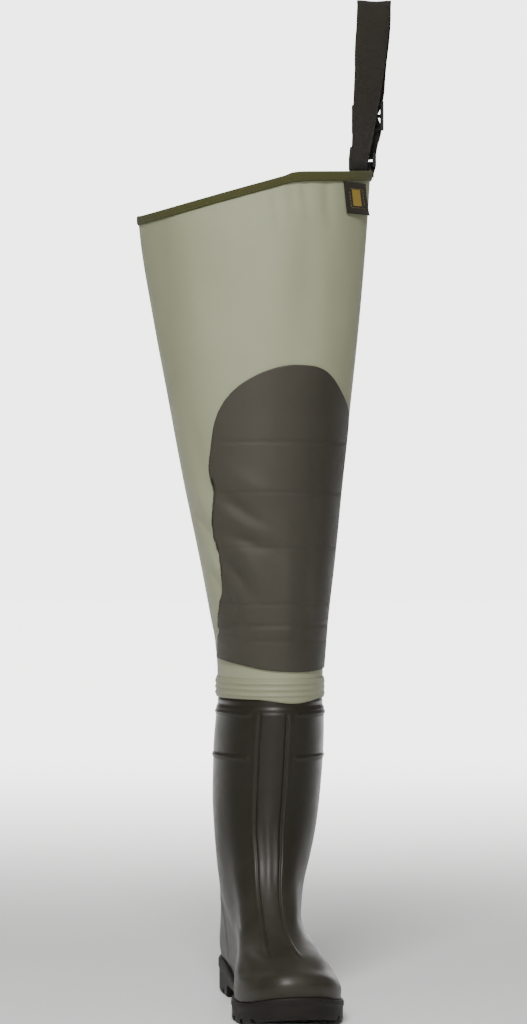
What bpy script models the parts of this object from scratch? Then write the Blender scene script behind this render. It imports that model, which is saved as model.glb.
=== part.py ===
"""Left thigh wader: a moulded boot with a coated-fabric leg, a knee patch, a bound hem and a belt strap.

The boot's toe points along -Y and its outer (little-toe) side along +X. The origin is on the floor under the
middle of the heel. Sizes are in millimetres here and become metres when a mesh is made.
"""

from math import cos, hypot, pi, radians, sin

import bmesh
import bpy
from mathutils import Vector

MM = 0.001

# Driving dimensions of the boot
SOLE_LENGTH = 303.0
HEEL_CENTRE = 40.0
SHAFT_AXIS = 75.0
WALL = 2.6
GAP = 0.3
SOLE_LEDGE = 4.0
COLLAR_TOP = 334.0
NECK_START, NECK_STEP = 304.0, 1.6
SEAT_START, SEAT_STEP = 312.0, 1.2
NECK_SLOPE = 3.0

# Driving dimensions of the leg
LEG_TURN = radians(-11.5)
LEG_WALL = 1.0
LEG_FOOT = 318.0
HEM_TOP = 864.0
HEM_INNER_DROP = 47.0
HEM_FRONT_DROP = 9.0
HEM_BACK_DROP = 6.0
HEM_BEND = 0.36
HEM_BEND_ROUND = 0.05

COLOURS = {
    "outsole": ((0.028, 0.024, 0.022), 0.55),
    "insole": ((0.16, 0.16, 0.14), 0.9),
    "boot_upper": ((0.030, 0.029, 0.022), 0.38),
    "leg": ((0.36, 0.36, 0.28), 0.6),
    "joint_tape": ((0.33, 0.33, 0.25), 0.6),
    "knee_patch": ((0.070, 0.062, 0.050), 0.55),
    "hem_binding": ((0.085, 0.084, 0.042), 0.8),
    "strap": ((0.033, 0.029, 0.023), 0.85),
    "strap_slider": ((0.012, 0.012, 0.012), 0.4),
    "strap_loop": ((0.012, 0.012, 0.012), 0.4),
    "loop_tab": ((0.020, 0.018, 0.016), 0.85),
    "hem_tag": ((0.022, 0.017, 0.010), 0.85),
}


# Small helpers for curves

def smooth(xs, ys, x):
    """A curve through the points (xs, ys) that never overshoots them, read at x."""
    if x <= xs[0]:
        return ys[0]
    if x >= xs[-1]:
        return ys[-1]
    slopes = [(ys[i + 1] - ys[i]) / (xs[i + 1] - xs[i]) for i in range(len(xs) - 1)]
    tangents = [slopes[0]]
    for before, after in zip(slopes, slopes[1:]):
        level = before * after <= 0
        tangents.append(0.0 if level else 2 * before * after / (before + after))
    tangents.append(slopes[-1])
    i = max(k for k in range(len(xs) - 1) if xs[k] <= x)
    width = xs[i + 1] - xs[i]
    t = (x - xs[i]) / width
    start = ys[i] * (1 + 2 * t) + tangents[i] * width * t
    end = ys[i + 1] * (3 - 2 * t) - tangents[i + 1] * width * (1 - t)
    return start * (1 - t) ** 2 + end * t**2


def ramp(low, high, x):
    """0 below low, 1 above high and an easy slope between; low may be the larger one."""
    t = min(1.0, max(0.0, (x - low) / (high - low)))
    return t * t * (3 - 2 * t)


def bump(middle, reach, x):
    """1 at the middle, falling to 0 at reach either side."""
    return ramp(reach, 0.0, abs(x - middle))


class Table:
    """Rows of named columns, read anywhere along the first column."""

    def __init__(self, columns, rows):
        self.columns = columns.split()
        self.rows = rows

    def read(self, name, x):
        at = self.columns.index(name)
        return smooth([row[0] for row in self.rows], [row[at] for row in self.rows], x)

    def __call__(self, x):
        return {name: self.read(name, x) for name in self.columns}


# Tables of sections, in millimetres, forward from the back of the heel and up from the floor

SOLE_SIDE = Table(
    "forward top tread",
    [
        (0.0, 37.0, 2.0),
        (14.0, 37.0, 0.0),
        (60.0, 35.5, 0.0),
        (130.0, 23.0, 0.0),
        (180.0, 20.0, 0.0),
        (232.0, 20.5, 0.0),
        (270.0, 25.0, 4.4),
        (SOLE_LENGTH, 33.5, 13.0),
    ],
)

# The feather is the line where the boot's wall meets the sole, set back from the sole's edge by a ledge.
HEEL_FEATHER = SOLE_LEDGE
TOE_FEATHER = SOLE_LENGTH - SOLE_LEDGE
HEEL_FEATHER_UP = SOLE_SIDE.read("top", HEEL_FEATHER) + GAP
TOE_FEATHER_UP = SOLE_SIDE.read("top", TOE_FEATHER) + GAP

# Rings of the boot from the feather to the collar. A ring joins a heel point and a front point; its half
# widths are given behind, at the waist and at the ball, on the inner (medial) and outer (lateral) sides.
# follow bends a ring along the sole's top. The instep's crest lies on the inner side, so front_side and twist
# (in degrees) carry the front strip over there.
BOOT_RINGS = Table(
    "level heel_at heel_up front_at front_up follow rear_m rear_l mid_m mid_l fore_m fore_l"
    " rear_cap front_cap power heel_side front_side twist",
    [
        (0, HEEL_FEATHER, HEEL_FEATHER_UP, TOE_FEATHER, TOE_FEATHER_UP, 1, 33, 33, 35, 42, 50, 55.5,
         0.15, 0.30, 2.35, 0, -7, 0),
        (1, 3, 49, 301, 43.0, 1.0, 35.0, 35.0, 36.0, 43.5, 51.0, 56.0, 0.15, 0.30, 2.35, 0.0, -7.0, 0),
        (2, 3, 61, 297, 51.5, 0.8, 35.5, 35.5, 36.0, 43.5, 49.5, 52.0, 0.16, 0.30, 2.30, 0.0, -7.5, 0),
        (3, 5, 72, 286, 58.5, 0.4, 35.5, 35.5, 36.0, 41.0, 45.0, 45.5, 0.17, 0.32, 2.25, 0.0, -8.5, 0),
        (4, 8, 82, 267, 64.5, 0.0, 36.0, 35.5, 36.5, 38.0, 39.5, 39.0, 0.19, 0.34, 2.20, 0.0, -10.0, 0),
        (5, 11, 91, 243, 71.0, 0.0, 36.5, 36.0, 37.5, 36.0, 36.0, 34.5, 0.21, 0.36, 2.15, 0.0, -11.0, 1),
        (6, 14, 100, 217, 82.0, 0.0, 38.0, 36.5, 39.5, 36.0, 34.0, 33.0, 0.25, 0.39, 2.10, 0.5, -10.5, 2),
        (7, 16, 110, 192, 99.0, 0.0, 40.5, 38.0, 42.5, 38.5, 35.5, 35.5, 0.30, 0.42, 2.05, 1.0, -8.0, 4),
        (8, 17, 122, 170, 123.0, 0.0, 43.5, 41.0, 45.5, 42.0, 40.5, 38.5, 0.38, 0.45, 2.00, 2.0, -4.0, 7),
        (9, 16.5, 140, 154, 153.0, 0.0, 48.0, 46.0, 49.5, 47.5, 46.5, 45.5, 0.45, 0.48, 2.00, 3.5, 1.0, 9),
        (10, 13, 170, 146, 186.0, 0.0, 52.5, 51.5, 54.0, 53.0, 52.5, 52.0, 0.50, 0.50, 2.00, 5.5, 4.5, 11),
        (11, 8, 214, 144, 222.0, 0.0, 56.0, 55.5, 57.0, 56.0, 56.0, 55.5, 0.50, 0.50, 2.00, 7.5, 7.5, 11),
        (12, 4, 262, 145, 264.0, 0.0, 57.0, 57.0, 57.5, 57.5, 57.0, 57.0, 0.50, 0.50, 2.00, 9.5, 9.5, 11),
        (13, 3, NECK_START, 147, NECK_START, 0.0, 56, 56, 56, 56, 56, 56, 0.50, 0.50, 2.00, 11, 11, 11),
        (14, 3, COLLAR_TOP, 147, COLLAR_TOP, 0.0, 56, 56, 56, 56, 56, 56, 0.50, 0.50, 2.00, 11, 11, 11),
    ],
)

# Ovals of the fabric leg. across and front place the middle of an oval from the shaft's axis, along the
# oval's own axes, which turn from the boot's (0) to the thigh's (1). A pinch below 2 narrows the oval to its
# two sides.
LEG_OVALS = Table(
    "up across front half_width half_depth pinch turn",
    [
        (300.0, 11.0, 0.0, 54.7, 70.7, 2.00, 0.0),
        (338.0, 11.0, 0.0, 54.7, 70.7, 2.00, 0.0),
        (372.0, 10.5, 2.0, 57.2, 70.7, 2.00, 0.1),
        (400.0, 9.0, 3.0, 61.2, 70.8, 2.00, 0.3),
        (458.0, 7.0, 5.0, 70.2, 71.2, 1.98, 0.7),
        (542.0, 3.2, 7.0, 83.5, 72.0, 1.94, 1.0),
        (626.0, 0.0, 7.0, 96.0, 72.5, 1.90, 1.0),
        (710.0, -3.5, 6.0, 108.2, 73.0, 1.86, 1.0),
        (794.0, -6.8, 5.0, 118.6, 73.0, 1.80, 1.0),
        (866.0, -7.6, 4.0, 124.0, 72.0, 1.74, 1.0),
    ],
)


# Meshes and materials

def material(name):
    """A plain coated finish in the piece's own colour."""
    colour, roughness = COLOURS[name]
    made = bpy.data.materials.new(name)
    made.use_nodes = True
    shader = made.node_tree.nodes["Principled BSDF"]
    shader.inputs["Base Color"].default_value = (*colour, 1.0)
    shader.inputs["Roughness"].default_value = roughness
    return made


def add_piece(name, bm, parent):
    """Makes a named object of a bmesh whose points are in millimetres."""
    bmesh.ops.scale(bm, vec=(MM, MM, MM), verts=bm.verts)
    bmesh.ops.recalc_face_normals(bm, faces=bm.faces)
    mesh = bpy.data.meshes.new(name)
    bm.to_mesh(mesh)
    bm.free()
    mesh.shade_smooth()
    mesh.set_sharp_from_angle(angle=radians(38))
    piece = bpy.data.objects.new(name, mesh)
    bpy.context.scene.collection.objects.link(piece)
    piece.parent = parent
    if name in COLOURS:
        mesh.materials.append(material(name))
    return piece


def rings_of(bm, rings):
    """Adds each ring of points to the bmesh and returns its vertices, ring by ring."""
    return [[bm.verts.new(point) for point in ring] for ring in rings]


def skin(bm, rings, closed=True):
    """Faces between each ring and the next; closed joins a ring's last point to its first."""
    for lower, upper in zip(rings, rings[1:]):
        count = len(lower)
        for i in range(count if closed else count - 1):
            j = (i + 1) % count
            bm.faces.new((lower[i], lower[j], upper[j], upper[i]))


def ladder(bm, ring):
    """Closes a ring that runs up one side and back down the other with rungs across it."""
    half = len(ring) // 2
    for i in range(half):
        near, far = ring[-i % len(ring)], ring[(-i - 1) % len(ring)]
        rung = [ring[i], ring[i + 1], far, near]
        bm.faces.new(list(dict.fromkeys(rung)))


def row_point(forward, side, up):
    """A place on the boot, forward from the heel's back, in the part's own frame."""
    return Vector((side, HEEL_CENTRE - forward, up))


def outward(grid):
    """The outward direction at each point of a grid of closed rings that climb anticlockwise."""
    rows, count = len(grid), len(grid[0])
    normals = []
    for r in range(rows):
        below, above = grid[max(r - 1, 0)], grid[min(r + 1, rows - 1)]
        line = []
        for c in range(count):
            along = grid[r][(c + 1) % count] - grid[r][c - 1]
            line.append(along.cross(above[c] - below[c]).normalized())
        normals.append(line)
    return normals


# The boot's outline and rings

# Shares of the half turn from the front strip (0) round to the heel (1). The strip's edge, the groove beside
# it and the ridge beyond have columns of their own.
STRIP_EDGE, STRIP_FOOT = 0.066, 0.078
RIDGE, RIDGE_FOOT = 0.098, 0.118
PANEL_EDGE = 0.15
FRONT_SHARES = (0, 0.035, STRIP_EDGE, STRIP_FOOT, RIDGE, RIDGE_FOOT, PANEL_EDGE)
REAR_SHARES = (0.2, 0.26, 0.33, 0.41, 0.5, 0.59, 0.68, 0.77, 0.85, 0.93, 1)
COLUMN_SHARES = FRONT_SHARES + REAR_SHARES
INNER_TURNS = [pi - pi * share for share in reversed(COLUMN_SHARES)]
TURNS = INNER_TURNS + [pi + pi * share for share in COLUMN_SHARES[1:-1]]


def front_share(turn):
    """How far round from the front a column is: 0 at the toe's line, 1 at the heel's."""
    return abs(turn - pi) / pi


WIDTH_PLACES = ("rear", "rear", "mid", "fore", "fore")
WIDTH_STATIONS = (0.0, 0.2, 0.47, 0.74, 1.0)


def outline(ring, turn):
    """(share along, side offset) of a ring at a turn, 0 at the heel and the inner side first."""
    along = (1 - cos(turn)) / 2
    side = "m" if turn <= pi else "l"
    widths = [ring[f"{place}_{side}"] for place in WIDTH_PLACES]
    width = smooth(WIDTH_STATIONS, widths, along)
    for left, cap in ((along, ring["rear_cap"]), (1 - along, ring["front_cap"])):
        if left < cap:
            width *= max(0.0, 1 - (1 - left / cap) ** ring["power"]) ** (1 / ring["power"])
    swing = ring["heel_side"] + (ring["front_side"] - ring["heel_side"]) * ramp(0.35, 1.0, along)
    return along, swing + (width if side == "l" else -width)


def boot_point(level, turn):
    """A point of the boot's outer form before its ridges."""
    ring = BOOT_RINGS(level)
    along, side = outline(ring, turn - radians(ring["twist"]) * sin(turn / 2) ** 2)
    forward = ring["heel_at"] + (ring["front_at"] - ring["heel_at"]) * along
    straight = ring["heel_up"] + (ring["front_up"] - ring["heel_up"]) * along
    heel_rise = ring["heel_up"] - SOLE_SIDE.read("top", ring["heel_at"])
    front_rise = ring["front_up"] - SOLE_SIDE.read("top", ring["front_at"])
    curved = SOLE_SIDE.read("top", forward) + heel_rise + (front_rise - heel_rise) * along
    up = straight + (curved - straight) * ring["follow"]
    return row_point(forward, side, up)


STRIP_RISE = 1.3
STRIP_FADES_AT = (262.0, 232.0)
STRIP_FADES_UP = (302.0, 294.0)
BEAD_RISE = 1.4
BEAD_REACH = 3.2
BEADS_UP = (299.0, 254.0)
CAP_RISE = 1.3
CAP_FADES_AT = (222.0, 244.0)
CAP_CREST_UP = 57.5
CAP_MIDDLE, CAP_HALF, CAP_SIDE_DROP = -8.0, 45.0, 9.0
COUNTER_RISE = 0.9
COUNTER_FADES_UP = (112.0, 100.0)
COUNTER_FRONT, COUNTER_SPREAD = 62.0, 22.0
EDGE_SOFTNESS = 2.5


def front_strip(share, forward, up):
    """The raised strip down the front with a ridge at each side, from the collar to the vamp."""
    strip = ramp(STRIP_FOOT, STRIP_EDGE, share) + bump(RIDGE, RIDGE_FOOT - RIDGE, share)
    return STRIP_RISE * strip * ramp(*STRIP_FADES_AT, forward) * ramp(*STRIP_FADES_UP, up)


def collar_beads(share, up):
    """Two beads round the shaft that stop short of the front strip."""
    bead = max(bump(middle, BEAD_REACH, up) for middle in BEADS_UP)
    return BEAD_RISE * bead * ramp(RIDGE_FOOT, PANEL_EDGE, share)


def toe_cap(forward, side, up):
    """The bumper round the toe, whose edge falls away to both sides."""
    edge = CAP_CREST_UP - CAP_SIDE_DROP * min(1.0, abs(side - CAP_MIDDLE) / CAP_HALF) ** 2
    return CAP_RISE * ramp(edge + EDGE_SOFTNESS, edge - EDGE_SOFTNESS, up) * ramp(*CAP_FADES_AT, forward)


def heel_counter(forward, up):
    """The stiffener round the heel, which reaches further forward near the sole."""
    front = COUNTER_FRONT + COUNTER_SPREAD * ramp(COUNTER_FADES_UP[0], HEEL_FEATHER_UP, up)
    reach = ramp(front + EDGE_SOFTNESS, front - EDGE_SOFTNESS, forward)
    return COUNTER_RISE * reach * ramp(*COUNTER_FADES_UP, up)


def relief(point, turn):
    """How far the boot's moulded features stand out of its plain form at a point."""
    share = front_share(turn)
    forward, side, up = HEEL_CENTRE - point.y, point.x, point.z
    features = front_strip(share, forward, up) + collar_beads(share, up)
    return features + toe_cap(forward, side, up) + heel_counter(forward, up)


def level_at(up):
    """The level of the shaft's ring that stands at a height."""
    low, high = 10.0, 14.0
    while high - low > 1e-4:
        middle = (low + high) / 2
        low, high = (middle, high) if BOOT_RINGS.read("front_up", middle) < up else (low, middle)
    return low


def boot_levels():
    """Levels of the outer rings: even steps over the foot, then the heights of the beads and the neck."""
    foot = [step / 2 for step in range(0, 21)]
    heights = [206.0, 228.0, 276.0, LEG_FOOT]
    for start in (NECK_START, SEAT_START):
        heights += [start, start + NECK_SLOPE]
    for bead in BEADS_UP:
        heights += [bead + BEAD_REACH * share for share in (-1.0, -0.4, 0.4, 1.0)]
    return foot + [level_at(up) for up in sorted(heights)] + [14.0]


def neck_step(up):
    """How far the collar's neck is set in, with a second step under the tape for the leg to slip over."""
    seat = SEAT_STEP * ramp(SEAT_START, SEAT_START + NECK_SLOPE, up)
    return seat + NECK_STEP * ramp(NECK_START, NECK_START + NECK_SLOPE, up)


def boot_walls():
    """Outer and inner grids of the boot's wall."""
    plain = [[boot_point(level, turn) for turn in TURNS] for level in boot_levels()]
    out = outward(plain)
    outer, inner = [], []
    for ring, normals in zip(plain, out):
        steps = [relief(p, t) - neck_step(p.z) for p, t in zip(ring, TURNS)]
        outer.append([p + n * step for p, n, step in zip(ring, normals, steps)])
        inner.append([p - n * (WALL + neck_step(p.z)) for p, n in zip(ring, normals)])
    for wall in (outer, inner):
        for point in wall[0]:
            point.z = SOLE_SIDE.read("top", HEEL_CENTRE - point.y) + GAP
        for point in wall[-1]:
            point.z = COLLAR_TOP
    return outer, inner


def make_boot_upper(parent):
    """The moulded boot: one wall, open at the collar and underneath."""
    outer, inner = boot_walls()
    inner = [ring for i, ring in enumerate(inner) if i % 2 == 0 or i == len(inner) - 1]
    bm = bmesh.new()
    rings = rings_of(bm, outer + inner[::-1])
    skin(bm, rings + rings[:1])
    return add_piece("boot_upper", bm, parent)


# The sole

SOLE_BANDS = Table(
    "share set_in",
    [(0.0, 2.4), (0.1, 1.0), (0.66, 0.8), (0.74, 0.0), (0.92, 0.0), (1.0, 1.2)],
)
SOLE_RING = BOOT_RINGS(0)
ARCH_BACK, ARCH_FRONT, ARCH_RISE, ARCH_SLOPE = 82.0, 126.0, 13.0, 5.0
LUG_DEPTH, LUG_GROOVE, LUG_SLOPE = 6.0, 6.5, 1.5
FORE_GROOVES = (150.0, 172.0, 194.0, 216.0, 240.0, 264.0)
HEEL_GROOVES = (20.0, 60.0)
GROOVE_REACH = 90.0
GROOVE_VEE = 22.0
BELOW_TREAD = 8.0


def feather_line(spread):
    """The feather's outline as (forward, side) places, spread outwards all round."""
    wide = dict(SOLE_RING)
    for column in ("rear_m", "rear_l", "mid_m", "mid_l", "fore_m", "fore_l"):
        wide[column] += spread
    back, front = wide["heel_at"] - spread, wide["front_at"] + spread
    places = []
    for turn in TURNS:
        along, side = outline(wide, turn)
        places.append((back + (front - back) * along, side))
    return places


def sole_ring(share):
    """One ring of the sole's side, from the tread (share 0) to its top edge (share 1)."""
    ring = []
    for forward, side in feather_line(SOLE_LEDGE - SOLE_BANDS.read("set_in", share)):
        shape = SOLE_SIDE(forward)
        ring.append(row_point(forward, side, shape["tread"] + (shape["top"] - shape["tread"]) * share))
    return ring


def wedge(bm, back, front, low, high, slope, vee=0.0):
    """A cutter across the sole, wider at its mouth by slope at each end and swept forward at its sides."""
    corners = ((back - slope, low), (front + slope, low), (front, high), (back, high))
    slices = []
    for side, sweep in ((-GROOVE_REACH, vee), (0.0, 0.0), (GROOVE_REACH, vee)):
        slices.append([row_point(forward + sweep, side, up) for forward, up in corners])
    rings = rings_of(bm, slices)
    skin(bm, rings)
    bm.faces.new(rings[0])
    bm.faces.new(rings[-1])


def make_outsole(parent):
    """The moulded sole, cut by the arch and by the grooves between its lugs."""
    bm = bmesh.new()
    rings = rings_of(bm, [sole_ring(row[0]) for row in SOLE_BANDS.rows])
    skin(bm, rings)
    ladder(bm, rings[0])
    ladder(bm, rings[-1])
    outsole = add_piece("outsole", bm, parent)

    cutters = bmesh.new()
    wedge(cutters, ARCH_BACK, ARCH_FRONT, -BELOW_TREAD, ARCH_RISE, ARCH_SLOPE)
    for middle in FORE_GROOVES + HEEL_GROOVES:
        tread = SOLE_SIDE.read("tread", middle)
        back, front = middle - LUG_GROOVE / 2, middle + LUG_GROOVE / 2
        vee = GROOVE_VEE if middle in FORE_GROOVES else 0.0
        wedge(cutters, back, front, tread - BELOW_TREAD, tread + LUG_DEPTH, LUG_SLOPE, vee)
    grooves = add_piece("sole_grooves", cutters, parent)
    grooves.hide_render = True
    grooves.display_type = "WIRE"
    cut = outsole.modifiers.new("grooves", "BOOLEAN")
    cut.operation = "DIFFERENCE"
    cut.object = grooves
    return outsole


INSOLE_THICKNESS = 4.0
INSOLE_CLEARANCE = 1.6


def make_insole(parent):
    """A flat foot bed that lies on the sole inside the boot's wall."""
    bm = bmesh.new()
    places = feather_line(-WALL - INSOLE_CLEARANCE)
    slices = []
    for rise in (GAP, GAP + INSOLE_THICKNESS):
        slices.append([row_point(f, s, SOLE_SIDE.read("top", f) + rise) for f, s in places])
    rings = rings_of(bm, slices)
    skin(bm, rings)
    ladder(bm, rings[0])
    ladder(bm, rings[-1])
    return add_piece("insole", bm, parent)


# The fabric leg. across runs to the wearer's left and front to the knee, both turned with the leg.

ACROSS = Vector((cos(LEG_TURN), sin(LEG_TURN), 0))
FRONT = Vector((sin(LEG_TURN), -cos(LEG_TURN), 0))
LEG_AXIS = row_point(SHAFT_AXIS, 0, 0)
LEG_COLUMNS = 40


def leg_place(across, front, up, turn=LEG_TURN):
    """A place from the shaft's axis along axes turned with the leg."""
    side = Vector((cos(turn), sin(turn), 0))
    ahead = Vector((sin(turn), -cos(turn), 0))
    return LEG_AXIS + side * across + ahead * front + Vector((0, 0, up))


def leg_point(up, angle):
    """A point of the leg's outer face; angle is 0 at the front and grows to the outer side."""
    oval = LEG_OVALS(up)
    power = 2 / oval["pinch"]
    wide = abs(sin(angle)) ** power * (1 if sin(angle) >= 0 else -1)
    deep = abs(cos(angle)) ** power * (1 if cos(angle) >= 0 else -1)
    across = oval["across"] + oval["half_width"] * wide
    front = oval["front"] + oval["half_depth"] * deep
    return leg_place(across, front, up, LEG_TURN * oval["turn"])


def leg_out(up, angle):
    """The outward direction of the leg's face."""
    step = 0.01
    along = leg_point(up, angle + step) - leg_point(up, angle - step)
    climb = leg_point(up + 1, angle) - leg_point(up - 1, angle)
    return along.cross(climb).normalized()


def across_share(up, angle):
    """How far across the leg a point is, from -1 at its inner edge to 1 at its outer one."""
    return abs(sin(angle)) ** (2 / LEG_OVALS.read("pinch", up)) * (1 if sin(angle) >= 0 else -1)


def hem_up(angle):
    """Height of the leg's top edge: level on the outer side, then straight down to the inner side."""
    before_bend = HEM_BEND - across_share(HEM_TOP, angle)
    fall = (before_bend + hypot(before_bend, HEM_BEND_ROUND)) / 2 / (HEM_BEND + 1)
    sag = HEM_FRONT_DROP * max(0.0, cos(angle)) + HEM_BACK_DROP * max(0.0, -cos(angle))
    return HEM_TOP - HEM_INNER_DROP * fall - sag


def leg_angles():
    """Even steps round the leg."""
    return [2 * pi * i / LEG_COLUMNS for i in range(LEG_COLUMNS)]


def leg_ring(share, depth):
    """A ring of the leg between its foot and its hem, set in by depth."""
    ring = []
    for angle in leg_angles():
        up = LEG_FOOT + (hem_up(angle) - LEG_FOOT) * share
        ring.append(leg_point(up, angle) - leg_out(up, angle) * depth)
    return ring


LEG_SHARES = (0, 0.04, 0.07, 0.1, 0.135, 0.17, 0.21, 0.255, 0.3, 0.35, 0.41, 0.48, 0.56, 0.65, 0.77, 0.89, 1)


def make_leg(parent):
    """The coated-fabric tube from the boot's collar to the thigh."""
    bm = bmesh.new()
    outer = [leg_ring(share, 0) for share in LEG_SHARES]
    inner = [leg_ring(share, LEG_WALL) for share in LEG_SHARES]
    rings = rings_of(bm, outer + inner[::-1])
    skin(bm, rings + rings[:1])
    return add_piece("leg", bm, parent)


# The tape over the joint of boot and leg

TAPE_LOW, TAPE_HIGH = 314.5, 336.0
TAPE_DIP, TAPE_DIP_AT, TAPE_DIP_REACH = 4.0, radians(12), radians(42)
TAPE_THICKNESS = 1.3
TAPE_RIBS = (319.0, 325.0, 331.0)
TAPE_RIB_RISE = 1.0
TAPE_RIB_REACH = 2.5


def tape_low(angle):
    """Height of the tape's lower edge, which dips at the front."""
    from_dip = (angle - TAPE_DIP_AT + pi) % (2 * pi) - pi
    return TAPE_LOW - TAPE_DIP * bump(0.0, TAPE_DIP_REACH, from_dip)


def make_joint_tape(parent):
    """A welded tape with ribs pressed round it, over the foot of the leg and the boot's neck."""
    ups = [TAPE_LOW]
    for rib in TAPE_RIBS:
        ups += [rib - TAPE_RIB_REACH, rib, rib + TAPE_RIB_REACH]
    ups += [TAPE_HIGH]

    def ring(up, rise):
        points = []
        for a in leg_angles():
            at = tape_low(a) if up == TAPE_LOW else up
            points.append(leg_point(at, a) + leg_out(at, a) * rise)
        return points

    bm = bmesh.new()
    outer = [ring(up, GAP + TAPE_THICKNESS + TAPE_RIB_RISE * (up in TAPE_RIBS)) for up in ups]
    inner = [ring(up, GAP) for up in (TAPE_HIGH, LEG_FOOT, TAPE_LOW)]
    rings = rings_of(bm, outer + inner)
    skin(bm, rings + rings[:1])
    return add_piece("joint_tape", bm, parent)


# The knee patch

PATCH_MIDDLE = radians(28)
PATCH_THICKNESS = 1.2
PATCH_ACROSS, PATCH_UP = 28, 22
PATCH_GAP = 0.6
# Heights of the lower and the upper edge, for shares from -1 at the inner edge to 1 at the outer one
PATCH_LOW = Table(
    "share up",
    [(-1.0, 357.0), (-0.56, 349.4), (-0.33, 344.9), (-0.07, 343.2), (0.53, 344.7), (1.0, 347.5)],
)
PATCH_TOP = Table(
    "share up",
    [
        (-1.0, 556.0),
        (-0.99, 574.0),
        (-0.97, 590.0),
        (-0.93, 605.0),
        (-0.87, 617.0),
        (-0.78, 628.5),
        (-0.678, 637.5),
        (-0.54, 646.0),
        (-0.41, 652.0),
        (-0.25, 656.8),
        (-0.08, 659.0),
        (0.145, 658.3),
        (0.3, 655.5),
        (0.42, 651.0),
        (0.536, 644.0),
        (0.7, 631.5),
        (0.85, 620.0),
        (0.965, 609.0),
        (1.0, 600.0),
    ],
)
# Lengths of cloth from the patch's middle line to its inner and its outer edge
PATCH_SIDES = Table(
    "up inner outer",
    [
        (340.0, 122.0, 58.0),
        (357.0, 121.0, 59.0),
        (376.0, 116.0, 61.0),
        (390.0, 109.5, 62.5),
        (410.0, 100.0, 64.0),
        (446.0, 90.5, 66.0),
        (469.0, 93.0, 67.0),
        (489.0, 97.5, 68.0),
        (526.0, 92.5, 69.5),
        (554.0, 98.0, 71.0),
        (582.0, 96.5, 73.0),
        (660.0, 96.5, 75.0),
    ],
)


def leg_angle_at(up, angle, reach):
    """The angle a length of cloth away from another one, to the outer side where reach is positive."""
    step = radians(2) * (1 if reach >= 0 else -1)
    left = abs(reach)
    while True:
        stride = (leg_point(up, angle + step) - leg_point(up, angle)).length
        if stride >= left:
            return angle + step * left / stride
        angle, left = angle + step, left - stride


def patch_point(share_across, share_up, rise):
    """A point of the patch: -1 to 1 from its inner edge to its outer one, and 0 to 1 up."""
    low = PATCH_LOW.read("up", share_across)
    up = low + (PATCH_TOP.read("up", share_across) - low) * share_up
    reach = PATCH_SIDES.read("inner" if share_across < 0 else "outer", up)
    angle = leg_angle_at(up, PATCH_MIDDLE, reach * share_across)
    return leg_point(up, angle) + leg_out(up, angle) * rise


def make_knee_patch(parent):
    """The reinforcement over knee and shin, laid on the leg with a rounded top."""
    even = [2 * i / PATCH_ACROSS - 1 for i in range(PATCH_ACROSS + 1)]
    across = [(share + sin(pi / 2 * share)) / 2 for share in even]
    bm = bmesh.new()
    for rise in (PATCH_GAP, PATCH_GAP + PATCH_THICKNESS):
        grid = [[patch_point(a, k / PATCH_UP, rise) for a in across] for k in range(PATCH_UP + 1)]
        skin(bm, rings_of(bm, grid), closed=False)
    bmesh.ops.bridge_loops(bm, edges=[edge for edge in bm.edges if edge.is_boundary])
    return add_piece("knee_patch", bm, parent)


# The bound hem

BINDING_WIDTH = 7.8
BINDING_THICKNESS = 1.1
BINDING_GAP = 0.45
BINDING_LAP_RISE = 1.2
LAP_FROM, LAP_TO, LAP_STEP = radians(22), radians(112), radians(3.5)


def binding_profile(angle):
    """The folded tape's cross-section as (rise from the leg's outer face, height over its edge)."""
    lapped = ramp(LAP_FROM - LAP_STEP, LAP_FROM, angle) * ramp(LAP_TO + LAP_STEP, LAP_TO, angle)
    lap = BINDING_LAP_RISE * lapped
    out = BINDING_GAP + BINDING_THICKNESS + lap / 2
    top = BINDING_GAP + BINDING_THICKNESS + lap
    back = -LEG_WALL - BINDING_GAP
    return (
        (BINDING_GAP, -BINDING_WIDTH),
        (out, -BINDING_WIDTH),
        (out, top),
        (back - BINDING_THICKNESS, top),
        (back - BINDING_THICKNESS, -BINDING_WIDTH),
        (back, -BINDING_WIDTH),
        (back, BINDING_GAP),
        (BINDING_GAP, BINDING_GAP),
    )


def make_hem_binding(parent):
    """A tape folded over the leg's edge all the way round, doubled where the strap is sewn in."""
    slices = []
    for angle in leg_angles():
        edge = hem_up(angle)
        out = leg_out(edge, angle)
        base = leg_point(edge, angle)
        below = leg_point(edge - BINDING_WIDTH, angle)
        slices.append([])
        for rise, over in binding_profile(angle):
            start = below if over < 0 else base + Vector((0, 0, over))
            slices[-1].append(start + out * rise)
    bm = bmesh.new()
    rings = rings_of(bm, slices)
    skin(bm, rings + rings[:1])
    return add_piece("hem_binding", bm, parent)


# The strap, its hard pieces and the tag

STRAP_WIDTH = 36.0
STRAP_THICKNESS = 1.8
STRAP_STEPS = 4
BAR = 3.5
FOLD_RADIUS = 4.0

LOOP_PLACE = (108.6, -23.6, 878.5)
LOOP_TURN = -54.0
LOOP_SIZE = (44.5, 15.0)
LOOP_BARS_UP = (LOOP_SIZE[1] - BAR) / 2

SLIDER_PLACE = (114.0, -18.7, 924.5)
SLIDER_TURN = -46.0
SLIDER_SIZE = (45.5, 31.0)
SLIDER_THICKNESS = 3.0
SLIDER_BAR = 3.6


def round_loop_bar(step, side):
    """Rows of a route that fold a webbing half round the loop's upper bar (1) or its lower bar (-1)."""
    across, front, up = LOOP_PLACE
    rows = []
    for k in range(5):
        angle = pi * k / 4
        fold_up = up + side * (LOOP_BARS_UP - FOLD_RADIUS * sin(angle))
        rows.append((step + k, across, front, fold_up, LOOP_TURN, -FOLD_RADIUS * cos(angle)))
    return rows


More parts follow.
